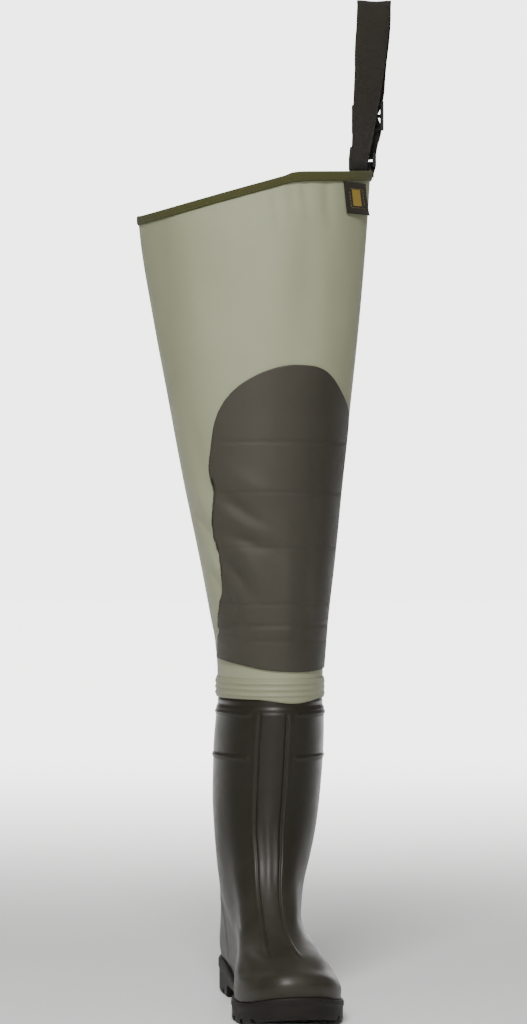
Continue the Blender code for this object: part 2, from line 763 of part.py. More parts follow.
# Places of the webbing's middle line along the leg's axes, the turn of its width from the leg's across axis
# in degrees, and its lift off that place, square to its width, as where it climbs over the slider's bar.
ROUTE_COLUMNS = "step across front up turn lift"
STRAP_ROUTE = Table(
    ROUTE_COLUMNS,
    [
        (0, 101.5, 14.5, 836.0, 62.0, 0.0),
        (1, 102.5, 15.5, 858.0, 62.0, 0.0),
        (2, 105.0, 18.0, 880.0, 58.0, 0.0),
        (3, 110.0, 19.0, 925.0, 44.0, 0.0),
        (4, 116.0, 16.0, 985.0, 26.0, 0.0),
        (5, 119.0, 11.0, 1030.0, 15.0, 0.0),
        (6, 119.6, 8.0, 1040.0, 14.0, 0.0),
        (7, 120.0, 3.0, 1043.0, 13.0, 0.0),
        (8, 120.4, -2.0, 1040.0, 12.0, 0.0),
        (9, 120.4, -5.0, 1030.0, 10.0, 0.0),
        (10, 117.0, -9.0, 985.0, -20.0, 0.0),
        (11, 115.0, -16.6, 948.0, -43.0, -3.5),
        (12, 113.8, -18.3, 937.5, -45.5, -3.5),
        (13, *SLIDER_PLACE, SLIDER_TURN, 3.4),
        (14, 113.2, -19.1, 911.5, -46.5, -3.5),
        (15, 110.6, -21.6, 899.0, -51.0, -3.7),
        *round_loop_bar(16, 1),
        (21, 109.2, -22.9, 894.0, -53.0, 3.2),
    ],
)
TAB_END = 860.5
TAB_ROUTE = Table(
    ROUTE_COLUMNS,
    [
        (0, *LOOP_PLACE[:2], TAB_END, LOOP_TURN, -1.2),
        (1, *LOOP_PLACE[:2], 863.5, LOOP_TURN, -1.2),
        *round_loop_bar(2, -1),
        (7, *LOOP_PLACE[:2], 863.5, LOOP_TURN, 1.2),
        (8, *LOOP_PLACE[:2], TAB_END, LOOP_TURN, 1.2),
    ],
)

FRAME_EDGE = 0.7


def turned(turn):
    """Width and thickness directions of a piece turned from the leg's across axis, in degrees."""
    angle = radians(turn)
    return ACROSS * cos(angle) - FRONT * sin(angle), ACROSS * sin(angle) + FRONT * cos(angle)


def route_place(route, step):
    """The middle of a webbing at a step of its route."""
    here = route(step)
    return leg_place(here["across"], here["front"], here["up"]) + turned(here["turn"])[1] * here["lift"]


def ribbon_slice(route, step, width, thickness):
    """Four corners of a webbing's cross-section at a step of its route."""
    run = route_place(route, step + 0.05) - route_place(route, step - 0.05)
    wide = turned(route.read("turn", step))[0]
    wide = (wide - run * (wide.dot(run) / run.length_squared)).normalized()
    half, deep = wide * width / 2, run.cross(wide).normalized() * thickness / 2
    middle = route_place(route, step)
    return [middle - half - deep, middle + half - deep, middle + half + deep, middle - half + deep]


def make_ribbon(name, route, width, thickness, parent):
    """A flat webbing along a route, closed at both ends."""
    last = route.rows[-1][0]
    slices = [ribbon_slice(route, k / STRAP_STEPS, width, thickness) for k in range(last * STRAP_STEPS + 1)]
    bm = bmesh.new()
    rings = rings_of(bm, slices)
    skin(bm, rings)
    bm.faces.new(rings[0])
    bm.faces.new(rings[-1])
    return add_piece(name, bm, parent)


def make_frame(name, place, turn, size, thickness, bars, windows, parent):
    """A flat plastic frame of bars round one or two windows, one above the other."""
    wide, deep = turned(turn)
    width, height = size
    middle = leg_place(*place)
    bm = bmesh.new()
    window_height = (height - bars * (windows + 1)) / windows
    ups = [-height / 2]
    for _ in range(windows):
        ups += [ups[-1] + bars, ups[-1] + bars + window_height]
    ups += [height / 2]
    acrosses = (-width / 2, -width / 2 + bars, width / 2 - bars, width / 2)
    grid = [[bm.verts.new(middle + wide * a + Vector((0, 0, u))) for a in acrosses] for u in ups]
    for k in range(len(ups) - 1):
        for i in range(3):
            if i == 1 and k % 2 == 1:
                continue
            bm.faces.new((grid[k][i], grid[k][i + 1], grid[k + 1][i + 1], grid[k + 1][i]))
    bmesh.ops.translate(bm, verts=bm.verts, vec=deep * (-thickness / 2))
    made = bmesh.ops.extrude_face_region(bm, geom=list(bm.faces), use_keep_orig=True)["geom"]
    front = [vert for vert in made if isinstance(vert, bmesh.types.BMVert)]
    bmesh.ops.translate(bm, verts=front, vec=deep * thickness)
    bmesh.ops.recalc_face_normals(bm, faces=bm.faces)
    sharp = [edge for edge in bm.edges if edge.calc_face_angle(0) > radians(60)]
    bmesh.ops.bevel(bm, geom=sharp, offset=FRAME_EDGE, segments=1, profile=0.5, affect="EDGES", material=-1)
    return add_piece(name, bm, parent)


TAG_SIZE = (34.0, 33.0)
TAG_THICKNESS = 1.4
TAG_FROM, TAG_LEAN = radians(52), radians(3)
TAG_LIFT, TAG_LIFT_INNER = 4.0, 0.8
TAG_CELLS = 4


def tag_point(share_across, share_down, rise):
    """A point of the tag: 0 to 1 across from its inner edge, 0 to 1 down from the binding."""
    up = hem_up(TAG_FROM) - BINDING_WIDTH - GAP - TAG_SIZE[1] * share_down
    angle = leg_angle_at(up, TAG_FROM + TAG_LEAN * share_down, TAG_SIZE[0] * share_across)
    lift = GAP + (TAG_LIFT_INNER + (TAG_LIFT - TAG_LIFT_INNER) * share_across) * share_down**2
    return leg_point(up, angle) + leg_out(up, angle) * (lift + rise)


def make_hem_tag(parent):
    """A sewn tag that hangs from the binding and stands off at its lower corner."""
    bm = bmesh.new()
    for rise in (0.0, TAG_THICKNESS):
        cells = range(TAG_CELLS + 1)
        grid = [[tag_point(i / TAG_CELLS, k / TAG_CELLS, rise) for i in cells] for k in cells]
        skin(bm, rings_of(bm, grid), closed=False)
    bmesh.ops.bridge_loops(bm, edges=[edge for edge in bm.edges if edge.is_boundary])
    return add_piece("hem_tag", bm, parent)


def main():
    for old in list(bpy.data.objects):
        bpy.data.objects.remove(old)
    wader = bpy.data.objects.new("wader", None)
    bpy.context.scene.collection.objects.link(wader)
    make_outsole(wader)
    make_insole(wader)
    make_boot_upper(wader)
    make_leg(wader)
    make_joint_tape(wader)
    make_knee_patch(wader)
    make_hem_binding(wader)
    make_ribbon("strap", STRAP_ROUTE, STRAP_WIDTH, STRAP_THICKNESS, wader)
    make_ribbon("loop_tab", TAB_ROUTE, STRAP_WIDTH, STRAP_THICKNESS, wader)
    make_frame("strap_slider", SLIDER_PLACE, SLIDER_TURN, SLIDER_SIZE, SLIDER_THICKNESS, SLIDER_BAR, 2, wader)
    make_frame("strap_loop", LOOP_PLACE, LOOP_TURN, LOOP_SIZE, BAR, BAR, 1, wader)
    make_hem_tag(wader)


main()
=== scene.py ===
# %% [markdown]
# # A left thigh wader
# A thigh wader is a moulded PVC boot with a coated-cloth leg welded to it. The leg hangs from a belt by
# a webbing strap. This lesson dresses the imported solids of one: every piece is a grid that a short
# function bends into place, and every finish is made of nodes.
#
# We note how much room they take before anything is added, because the dressed wader has to stay within
# nearly the same box.

from functools import lru_cache
from math import cos, exp, hypot, pi, radians, sin

import bmesh
import bpy
from mathutils import Matrix, Vector


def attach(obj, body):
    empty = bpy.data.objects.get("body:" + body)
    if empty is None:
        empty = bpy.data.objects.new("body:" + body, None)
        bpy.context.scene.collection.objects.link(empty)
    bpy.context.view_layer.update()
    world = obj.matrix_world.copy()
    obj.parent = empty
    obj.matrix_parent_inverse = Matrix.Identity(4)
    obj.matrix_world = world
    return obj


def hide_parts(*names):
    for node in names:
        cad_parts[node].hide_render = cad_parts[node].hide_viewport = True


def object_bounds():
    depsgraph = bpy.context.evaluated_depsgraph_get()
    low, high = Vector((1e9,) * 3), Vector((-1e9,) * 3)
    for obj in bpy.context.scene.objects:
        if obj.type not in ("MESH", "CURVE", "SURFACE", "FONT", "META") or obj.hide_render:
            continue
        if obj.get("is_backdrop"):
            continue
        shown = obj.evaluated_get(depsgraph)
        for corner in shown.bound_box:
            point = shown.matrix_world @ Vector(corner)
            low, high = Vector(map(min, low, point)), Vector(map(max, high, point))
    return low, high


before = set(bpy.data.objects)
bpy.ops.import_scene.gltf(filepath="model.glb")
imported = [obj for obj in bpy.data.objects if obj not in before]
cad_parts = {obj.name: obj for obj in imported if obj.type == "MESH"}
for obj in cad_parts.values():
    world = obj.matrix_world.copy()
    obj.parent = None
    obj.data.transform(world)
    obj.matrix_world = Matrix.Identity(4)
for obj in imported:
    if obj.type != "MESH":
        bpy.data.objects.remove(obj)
cad_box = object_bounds()
MM = 0.001
print("solids:", ", ".join(sorted(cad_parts)))

# %% [markdown]
# ## Curves from short tables
# A maker gives a shape as a few measured sections and lets a curve run through them. The curve here
# never overshoots its points, so a wall can't bulge between two sections. `ramp` and `bump` are the two
# soft steps that ridges, beads and folds are made of.

# %% Curves and tables
def smooth(xs, ys, x):
    """A curve through the points (xs, ys) that never overshoots them, read at x."""
    if x <= xs[0]:
        return ys[0]
    if x >= xs[-1]:
        return ys[-1]
    slopes = [(ys[i + 1] - ys[i]) / (xs[i + 1] - xs[i]) for i in range(len(xs) - 1)]
    tangents = [slopes[0]]
    for before, after in zip(slopes, slopes[1:]):
        level = before * after <= 0
        tangents.append(0.0 if level else 2 * before * after / (before + after))
    tangents.append(slopes[-1])
    i = max(k for k in range(len(xs) - 1) if xs[k] <= x)
    width = xs[i + 1] - xs[i]
    t = (x - xs[i]) / width
    start = ys[i] * (1 + 2 * t) + tangents[i] * width * t
    end = ys[i + 1] * (3 - 2 * t) - tangents[i + 1] * width * (1 - t)
    return start * (1 - t) ** 2 + end * t**2


def ramp(low, high, x):
    """0 below low, 1 above high and an easy slope between; low may be the larger one."""
    t = min(1.0, max(0.0, (x - low) / (high - low)))
    return t * t * (3 - 2 * t)


def bump(middle, reach, x):
    """1 at the middle, falling to 0 at reach either side."""
    return ramp(reach, 0.0, abs(x - middle))


class Table:
    """Rows of named columns, read anywhere along the first column."""

    def __init__(self, columns, rows):
        self.columns = columns.split()
        self.rows = rows

    def read(self, name, x):
        at = self.columns.index(name)
        return smooth([row[0] for row in self.rows], [row[at] for row in self.rows], x)

    def __call__(self, x):
        return {name: self.read(name, x) for name in self.columns}


print("a soft step half way up:", ramp(0, 1, 0.5))

# %% [markdown]
# ## Camera and light
# The photo was taken level with the knee, from about three metres, so the verticals stay upright and the
# toe looks only a little larger than the collar. The wader is turned so that its leg faces the camera
# and its toe points a little to the right. A camera can be placed by eye; here its place is measured
# from the leg's own axis, so it stays right if the leg is turned. Most light comes from one large soft
# box high in front. Weak ones low, above and behind open the shadows a little, as for a catalogue
# picture.

# %% Camera
LEG_TURN = radians(-11.5)
HEEL_CENTRE = 40.0
SHAFT_AXIS = 75.0
ACROSS = Vector((cos(LEG_TURN), sin(LEG_TURN), 0))
FRONT = Vector((sin(LEG_TURN), -cos(LEG_TURN), 0))
LEG_AXIS = Vector((0, HEEL_CENTRE - SHAFT_AXIS, 0))
CAMERA_DISTANCE = 3.2
CAMERA_HEIGHT = 0.508
CAMERA_LENS = 107.1
CAMERA_SHIFT = 0.004


def studio_place(right, towards, up):
    """A place in metres from the leg's axis: to the picture's right, towards the camera and up."""
    return LEG_AXIS * MM + ACROSS * right + FRONT * towards + Vector((0, 0, up))


def aim(thing, place, target):
    """Stands a camera or a light at a place, looking at a target."""
    thing.location = place
    thing.rotation_euler = (target - place).to_track_quat("-Z", "Y").to_euler()
    bpy.context.scene.collection.objects.link(thing)


camera = bpy.data.objects.new("camera", bpy.data.cameras.new("camera"))
camera.data.lens = CAMERA_LENS
knee = studio_place(CAMERA_SHIFT, 0, CAMERA_HEIGHT)
aim(camera, studio_place(CAMERA_SHIFT, CAMERA_DISTANCE, CAMERA_HEIGHT), knee)
bpy.context.scene.camera = camera
print("camera", CAMERA_DISTANCE, "m from the leg's axis")

# %% Lights
# name, right, towards, up, width, height, watts
LIGHTS = [
    ("key", -0.3, 2.5, 2.6, 1.1, 1.1, 116.0),
    ("low", -0.3, 3.0, 0.7, 1.0, 0.8, 10.0),
    ("top", -0.2, 0.4, 2.8, 1.2, 1.2, 6.0),
    ("back", -0.4, -2.4, 1.9, 1.6, 1.6, 5.0),
]
LIT_UP = 0.45
for name, right, towards, up, width, height, watts in LIGHTS:
    lamp = bpy.data.objects.new(name, bpy.data.lights.new(name, "AREA"))
    lamp.data.shape = "RECTANGLE"
    lamp.data.size = width
    lamp.data.size_y = height
    lamp.data.energy = watts
    aim(lamp, studio_place(right, towards, up), studio_place(0, 0, LIT_UP))
print("lights:", len(LIGHTS))

# %% [markdown]
# ## Building materials from nodes
# Each finish is a Principled BSDF with a few textures in front of it. Nodes can be wired by hand in the
# shader editor. In a script, `feed` sets a socket to a value, or links it if it is given another socket,
# so that a whole chain reads like a recipe.

# %% Node helpers
def feed(made, **inputs):
    """Sets or links the inputs of a node; a name such as in_0 means the socket of that number."""
    for name, value in inputs.items():
        key = int(name[3:]) if name.startswith("in_") else name.replace("_", " ")
        if isinstance(value, bpy.types.NodeSocket):
            made.id_data.links.new(value, made.inputs[key])
        else:
            made.inputs[key].default_value = value
    return made


def add(look, kind, settings=(), **inputs):
    """A new node of a material, with settings such as an operation and its inputs fed."""
    made = look.node_tree.nodes.new("ShaderNode" + kind)
    for name, value in settings:
        setattr(made, name, value)
    return feed(made, **inputs)


def new_look(name, colour, roughness):
    """A material with its plain colour and roughness set, and its shader."""
    look = bpy.data.materials.new(name)
    look.use_nodes = True
    shader = look.node_tree.nodes["Principled BSDF"]
    look.diffuse_color = (*colour, 1)
    feed(shader, Base_Color=(*colour, 1), Roughness=roughness)
    return look, shader


def math(look, operation, first, second=0.0):
    """The result of a Math node."""
    return add(look, "Math", [("operation", operation)], in_0=first, in_1=second).outputs[0]


def places(look):
    """Object coordinates, which stay with a piece wherever it goes."""
    return add(look, "TexCoord").outputs["Object"]


def reach_along(look, vector, direction):
    """How far a vector reaches along a direction."""
    product = add(look, "VectorMath", [("operation", "DOT_PRODUCT")], in_0=vector, in_1=direction)
    return product.outputs["Value"]


def soft_step(look, value, start, end, low, high):
    """Eases from low to high while a value goes from start to end."""
    step = add(look, "MapRange", [("interpolation_type", "SMOOTHSTEP")], Value=value)
    return feed(step, From_Min=start, From_Max=end, To_Min=low, To_Max=high).outputs["Result"]


print("node helpers ready")

# %% Noise, tints and bumps
def cloudy(look, scale, detail=3.0):
    """Soft noise from 0 to 1, with scale in cells per metre."""
    return add(look, "TexNoise", Vector=places(look), Scale=scale, Detail=detail).outputs["Fac"]


def wandering(look, middle, spread, scale, detail):
    """A value that drifts about its middle in soft clouds."""
    drift = math(look, "MULTIPLY_ADD", cloudy(look, scale, detail), spread)
    feed(drift.node, in_2=middle - spread / 2)
    return drift


def mixed(look, share, colour, other):
    """A colour between two colours or sockets by a share."""
    mix = add(look, "Mix", [("data_type", "RGBA")], in_0=share, in_6=colour, in_7=other)
    return mix.outputs[2]


def tinted(look, shader, colour, other, share):
    """Mixes the base colour between two colours by a share."""
    feed(shader, Base_Color=mixed(look, share, (*colour, 1), (*other, 1)))


def raised(look, shader, *heights):
    """Chains bumps given as (height, distance in millimetres, strength) and ends them in the shader."""
    normal = None
    for height, distance, strength in heights:
        made = add(look, "Bump", Height=height, Distance=distance * MM, Strength=strength)
        if normal:
            feed(made, Normal=normal)
        normal = made.outputs["Normal"]
    feed(shader, Normal=normal)


print("noise, tints and bumps ready")

# %% [markdown]
# ## Floor and surround
# A studio rolls pale paper up behind the object, so that no horizon shows. A curved sheet would do that
# too. A flat disc is simpler: it glows more and more with distance until it is as bright as the
# backdrop. Only the part of the surround behind the wader is bright. The rest stays dim, because dark
# PVC shows its form by what it doesn't mirror.

# %% Floor
BEHIND = -FRONT
STUDIO_WHITE = (1.0, 1.0, 0.99, 1)
FLOOR_COLOUR, FLOOR_MOTTLE = (0.86, 0.86, 0.85), (0.89, 0.89, 0.88)
FLOOR_RADIUS, FLOOR_SIDES = 14.0, 96
GLOW_FROM, GLOW_FULL, GLOW = 0.2, 3.4, 3.8

floor_look, floor_shader = new_look("floor", FLOOR_COLOUR, roughness=0.7)
tinted(floor_look, floor_shader, FLOOR_COLOUR, FLOOR_MOTTLE, cloudy(floor_look, 3.0))
away = reach_along(floor_look, places(floor_look), BEHIND)
glow = soft_step(floor_look, away, GLOW_FROM, GLOW_FULL, 0.0, GLOW)
feed(floor_shader, Emission_Color=STUDIO_WHITE, Emission_Strength=glow)
bm = bmesh.new()
bmesh.ops.create_circle(bm, cap_ends=True, segments=FLOOR_SIDES, radius=FLOOR_RADIUS)
floor_mesh = bpy.data.meshes.new("floor")
bm.to_mesh(floor_mesh)
bm.free()
floor_mesh.materials.append(floor_look)
floor = bpy.data.objects.new("floor", floor_mesh)
bpy.context.scene.collection.objects.link(floor)
floor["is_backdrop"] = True
print("floor", 2 * FLOOR_RADIUS, "m across")

# %% Surround
SURROUND, BACKDROP = 0.2, 4.0
BACKDROP_FROM, BACKDROP_FULL = 0.9, 0.985
world = bpy.data.worlds.new("surround")
world.use_nodes = True
facing = reach_along(world, add(world, "TexCoord").outputs["Generated"], BEHIND)
glow = soft_step(world, facing, BACKDROP_FROM, BACKDROP_FULL, SURROUND, BACKDROP)
feed(world.node_tree.nodes["Background"], Color=STUDIO_WHITE, Strength=glow)
bpy.context.scene.world = world
print("backdrop", BACKDROP / SURROUND, "times as bright as the rest")

# %% [markdown]
# ## One grid for every piece
# A boot, a trouser leg and a strap all start as a flat grid. We work out where each of its points
# belongs, move the grid's vertices there and merge the edges that meet. The grid also gives each piece a
# map in metres of cloth, so that a weave keeps its real size.

# %% Grid helpers
MERGE = 1e-7


def lengths(points):
    """Running length in metres along a line of points."""
    total = [0.0]
    for before, after in zip(points, points[1:]):
        total.append(total[-1] + (after - before).length * MM)
    return total


def shaped_grid(rows):
    """A grid with its vertices moved to rows of points in millimetres; edges that meet are merged."""
    across, along = len(rows[0]) - 1, len(rows) - 1
    bm = bmesh.new()
    bmesh.ops.create_grid(bm, x_segments=across, y_segments=along, size=1)
    row_of, column_of = bm.verts.layers.int.new("row"), bm.verts.layers.int.new("column")
    for vert in bm.verts:
        vert[column_of] = round((vert.co.x + 1) / 2 * across)
        vert[row_of] = round((vert.co.y + 1) / 2 * along)
    cloth = bm.loops.layers.uv.new("cloth")
    us = lengths(max(rows, key=lambda row: lengths(row)[-1]))
    vs = lengths([row[0] for row in rows])
    for face in bm.faces:
        for loop in face.loops:
            loop[cloth].uv = (us[loop.vert[column_of]], vs[loop.vert[row_of]])
    for vert in bm.verts:
        vert.co = rows[vert[row_of]][vert[column_of]] * MM
    bmesh.ops.remove_doubles(bm, verts=bm.verts, dist=MERGE)
    bmesh.ops.recalc_face_normals(bm, faces=bm.faces)
    return bm


def outward(rows):
    """The outward direction at each point of rows that close round a piece and climb it."""
    normals = []
    for r in range(len(rows)):
        below, above = rows[max(r - 1, 0)], rows[min(r + 1, len(rows) - 1)]
        line = []
        for c in range(len(rows[0]) - 1):
            before = rows[r][c - 1] if c else rows[r][-2]
            line.append((rows[r][c + 1] - before).cross(above[c] - below[c]).normalized())
        normals.append(line + line[:1])
    return normals


def set_out(rows, normals, steps):
    """Rows moved along their normals by steps in millimetres."""
    moved = []
    for row, line, step in zip(rows, normals, steps):
        moved.append([p + n * s for p, n, s in zip(row, line, step)])
    return moved


def dress(name, bm, looks, slot, replaced=True):
    """Turns a mesh into a smooth piece that rides on the frame, in place of its slot's solid or beside it."""
    mesh = bpy.data.meshes.new(name)
    bm.to_mesh(mesh)
    bm.free()
    mesh.shade_smooth()
    for look in looks:
        mesh.materials.append(look)
    piece = bpy.data.objects.new(name, mesh)
    bpy.context.scene.collection.objects.link(piece)
    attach(piece, "root")
    if replaced:
        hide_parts(slot)
    print(name, len(mesh.polygons), "faces")
    return piece


def thicken(piece, thickness, inner_look=0):
    """Gives a sheet its thickness in millimetres, inwards from its face."""
    wall = piece.modifiers.new("wall", "SOLIDIFY")
    wall.thickness = thickness * MM
    wall.offset = -1
    wall.material_offset = inner_look


print("grid helpers ready")

# %% [markdown]
# ## The boot's form
# The boot is cast in one piece round a last. Its rings run from the feather, where the wall meets the
# sole, over the instep and up the shaft to the collar. A boot is often sculpted by hand, but rings in a
# table can be measured off a photo one by one. Low rings are long and shaped like a foot, high rings are
# nearly round. The instep's crest lies towards the big toe, so the front strip swings over to that side
# as it comes down.

# %% Sections of the boot
SOLE_LENGTH = 303.0
WALL = 2.6
GAP = 0.3
SOLE_LEDGE = 4.0
COLLAR_TOP = 334.0
NECK_START, NECK_STEP = 304.0, 1.6
SEAT_START, SEAT_STEP = 312.0, 1.2
NECK_SLOPE = 3.0
SOLE_SIDE = Table(
    "forward top tread",
    [
        (0.0, 37.0, 2.0),
        (14.0, 37.0, 0.0),
        (60.0, 35.5, 0.0),
        (130.0, 23.0, 0.0),
        (180.0, 20.0, 0.0),
        (232.0, 20.5, 0.0),
        (270.0, 25.0, 4.4),
        (SOLE_LENGTH, 33.5, 13.0),
    ],
)
HEEL_FEATHER = SOLE_LEDGE
TOE_FEATHER = SOLE_LENGTH - SOLE_LEDGE
HEEL_FEATHER_UP = SOLE_SIDE.read("top", HEEL_FEATHER) + GAP
TOE_FEATHER_UP = SOLE_SIDE.read("top", TOE_FEATHER) + GAP
BOOT_RINGS = Table(
    "level heel_at heel_up front_at front_up follow rear_m rear_l mid_m mid_l fore_m fore_l"
    " rear_cap front_cap power heel_side front_side twist",
    [
        (0, HEEL_FEATHER, HEEL_FEATHER_UP, TOE_FEATHER, TOE_FEATHER_UP, 1, 33, 33, 35, 42, 50, 55.5,
         0.15, 0.30, 2.35, 0, -7, 0),
        (1, 3, 49, 301, 43.0, 1.0, 35.0, 35.0, 36.0, 43.5, 51.0, 56.0, 0.15, 0.30, 2.35, 0.0, -7.0, 0),
        (2, 3, 61, 297, 51.5, 0.8, 35.5, 35.5, 36.0, 43.5, 49.5, 52.0, 0.16, 0.30, 2.30, 0.0, -7.5, 0),
        (3, 5, 72, 286, 58.5, 0.4, 35.5, 35.5, 36.0, 41.0, 45.0, 45.5, 0.17, 0.32, 2.25, 0.0, -8.5, 0),
        (4, 8, 82, 267, 64.5, 0.0, 36.0, 35.5, 36.5, 38.0, 39.5, 39.0, 0.19, 0.34, 2.20, 0.0, -10.0, 0),
        (5, 11, 91, 243, 71.0, 0.0, 36.5, 36.0, 37.5, 36.0, 36.0, 34.5, 0.21, 0.36, 2.15, 0.0, -11.0, 1),
        (6, 14, 100, 217, 82.0, 0.0, 38.0, 36.5, 39.5, 36.0, 34.0, 33.0, 0.25, 0.39, 2.10, 0.5, -10.5, 2),
        (7, 16, 110, 192, 99.0, 0.0, 40.5, 38.0, 42.5, 38.5, 35.5, 35.5, 0.30, 0.42, 2.05, 1.0, -8.0, 4),
        (8, 17, 122, 170, 123.0, 0.0, 43.5, 41.0, 45.5, 42.0, 40.5, 38.5, 0.38, 0.45, 2.00, 2.0, -4.0, 7),
        (9, 16.5, 140, 154, 153.0, 0.0, 48.0, 46.0, 49.5, 47.5, 46.5, 45.5, 0.45, 0.48, 2.00, 3.5, 1.0, 9),
        (10, 13, 170, 146, 186.0, 0.0, 52.5, 51.5, 54.0, 53.0, 52.5, 52.0, 0.50, 0.50, 2.00, 5.5, 4.5, 11),
        (11, 8, 214, 144, 222.0, 0.0, 56.0, 55.5, 57.0, 56.0, 56.0, 55.5, 0.50, 0.50, 2.00, 7.5, 7.5, 11),
        (12, 4, 262, 145, 264.0, 0.0, 57.0, 57.0, 57.5, 57.5, 57.0, 57.0, 0.50, 0.50, 2.00, 9.5, 9.5, 11),
        (13, 3, NECK_START, 147, NECK_START, 0.0, 56, 56, 56, 56, 56, 56, 0.50, 0.50, 2.00, 11, 11, 11),
        (14, 3, COLLAR_TOP, 147, COLLAR_TOP, 0.0, 56, 56, 56, 56, 56, 56, 0.50, 0.50, 2.00, 11, 11, 11),
    ],
)
WIDTH_PLACES = ("rear", "rear", "mid", "fore", "fore")
WIDTH_STATIONS = (0.0, 0.2, 0.47, 0.74, 1.0)
SWING_FROM = 0.35


def outline(ring, turn):
    """(share along, side offset) of a ring at a turn, 0 at the heel and the inner side first."""
    along = (1 - cos(turn)) / 2
    side = "m" if turn <= pi else "l"
    widths = [ring[f"{place}_{side}"] for place in WIDTH_PLACES]
    width = smooth(WIDTH_STATIONS, widths, along)
    for left, cap in ((along, ring["rear_cap"]), (1 - along, ring["front_cap"])):
        if left < cap:
            width *= max(0.0, 1 - (1 - left / cap) ** ring["power"]) ** (1 / ring["power"])
    swing = ring["heel_side"] + (ring["front_side"] - ring["heel_side"]) * ramp(SWING_FROM, 1.0, along)
    return along, swing + (width if side == "l" else -width)


@lru_cache(maxsize=None)
def boot_ring(level):
    """A ring of the boot's table, kept once it is read."""
    return BOOT_RINGS(level)


@lru_cache(maxsize=None)
def sole_top(forward):
    """Height of the sole's upper face."""
    return SOLE_SIDE.read("top", forward)


def row_point(forward, side, up):
    """A place on the boot, forward from the heel's back, in the part's own frame."""
    return Vector((side, HEEL_CENTRE - forward, up))


def boot_point(level, turn):
    """A point of the boot's outer form before its ridges."""
    ring = boot_ring(level)
    along, side = outline(ring, turn - radians(ring["twist"]) * sin(turn / 2) ** 2)
    forward = ring["heel_at"] + (ring["front_at"] - ring["heel_at"]) * along
    straight = ring["heel_up"] + (ring["front_up"] - ring["heel_up"]) * along
    heel_rise = ring["heel_up"] - sole_top(ring["heel_at"])
    front_rise = ring["front_up"] - sole_top(ring["front_at"])
    curved = sole_top(forward) + heel_rise + (front_rise - heel_rise) * along
    up = straight + (curved - straight) * ring["follow"]
    return row_point(forward, side, up)


print("boot rings:", len(BOOT_RINGS.rows))

# %% [markdown]
# ## What is moulded into the boot
# A strip runs down the front between two grooves with a ridge beside each; the inner ridge is flatter.
# Two beads go round the shaft. They are steps of a millimetre or so in the wall. A displacement texture
# could make them, but then the solid and the look would part ways. Here each feature is a short function
# of place, and the rows of the boot are set out by their sum.

# %% Front strip and beads
STRIP_EDGE, STRIP_FOOT = 0.066, 0.078
STRIP_RISE = 1.4
STRIP_FADES_AT = (262.0, 232.0)
STRIP_FADES_UP = (302.0, 294.0)
STRIP_GROOVE, GROOVE_HALF = 0.7, 0.016
RIDGE, RIDGE_FOOT = 0.100, 0.126
INNER_RIDGE = 0.45
FLUTES, FLUTE_DEPTH = 1.0, 0.2
FLUTES_UP = (112.0, 138.0, 172.0, 205.0)
PANEL_EDGE = 0.15
BEAD_RISE = 1.4
BEAD_REACH = 3.2
BEAD_ON_STRIP = 0.5
BEADS_UP = (299.0, 254.0)


def front_share(turn):
    """How far round from the front a column is: 0 at the toe's line, 1 at the heel's."""
    return abs(turn - pi) / pi


def front_strip(share, inner_side, forward, up):
    """The raised strip with a groove and a ridge at each side, and flutes where the ankle bends."""
    on_strip = ramp(STRIP_FOOT, STRIP_EDGE, share)
    ridge = bump(RIDGE, RIDGE_FOOT - RIDGE, share) * (INNER_RIDGE if inner_side else 1)
    groove = STRIP_GROOVE * bump(STRIP_FOOT, GROOVE_HALF, share)
    low, full, fades, gone = FLUTES_UP
    flutes = FLUTE_DEPTH * (1 - cos(2 * pi * FLUTES * share / STRIP_EDGE)) * on_strip
    flutes *= ramp(low, full, up) * ramp(gone, fades, up)
    rise = STRIP_RISE * (on_strip + ridge) - groove - flutes
    return rise * ramp(*STRIP_FADES_AT, forward) * ramp(*STRIP_FADES_UP, up)


def collar_beads(share, up):
    """Two beads round the shaft; the upper one also crosses the strip, and both leave its ridges free."""
    sides = ramp(RIDGE_FOOT, PANEL_EDGE, share)
    over_strip = BEAD_ON_STRIP * ramp(STRIP_FOOT, STRIP_EDGE, share)
    upper, lower = (bump(middle, BEAD_REACH, up) for middle in BEADS_UP)
    return BEAD_RISE * max(upper * max(sides, over_strip), lower * sides)


print("strip", STRIP_RISE, "mm high, beads", BEAD_RISE, "mm high")

# %% [markdown]
# ## Toe, heel and neck
# A bumper covers the toe, with a soft trough above it that catches the light. A stiff counter wraps the
# heel. Each is again a function of place, so nothing has to be cut into the mesh. At the top the wall
# steps in twice: once above the upper bead, and once more under the tape, where the leg slips over it.

# %% Toe bumper, heel counter and neck
EDGE_SOFTNESS = 2.5
CAP_RISE = 0.9
CAP_TROUGH, CAP_TROUGH_UP, CAP_TROUGH_REACH = 1.5, 3.0, 9.0
CAP_FADES_AT = (222.0, 244.0)
CAP_CREST_UP = 57.5
CAP_MIDDLE, CAP_HALF, CAP_SIDE_DROP = -8.0, 45.0, 9.0
COUNTER_RISE = 0.9
COUNTER_FADES_UP = (112.0, 100.0)
COUNTER_FRONT, COUNTER_SPREAD = 62.0, 22.0


def toe_cap(forward, side, up):
    """The bumper round the toe, whose edge falls away to both sides, with a soft trough over it."""
    edge = CAP_CREST_UP - CAP_SIDE_DROP * min(1.0, abs(side - CAP_MIDDLE) / CAP_HALF) ** 2
    bumper = CAP_RISE * ramp(edge + 2 * EDGE_SOFTNESS, edge - 2 * EDGE_SOFTNESS, up)
    trough = CAP_TROUGH * bump(edge + CAP_TROUGH_UP, CAP_TROUGH_REACH, up)
    return (bumper - trough) * ramp(*CAP_FADES_AT, forward)


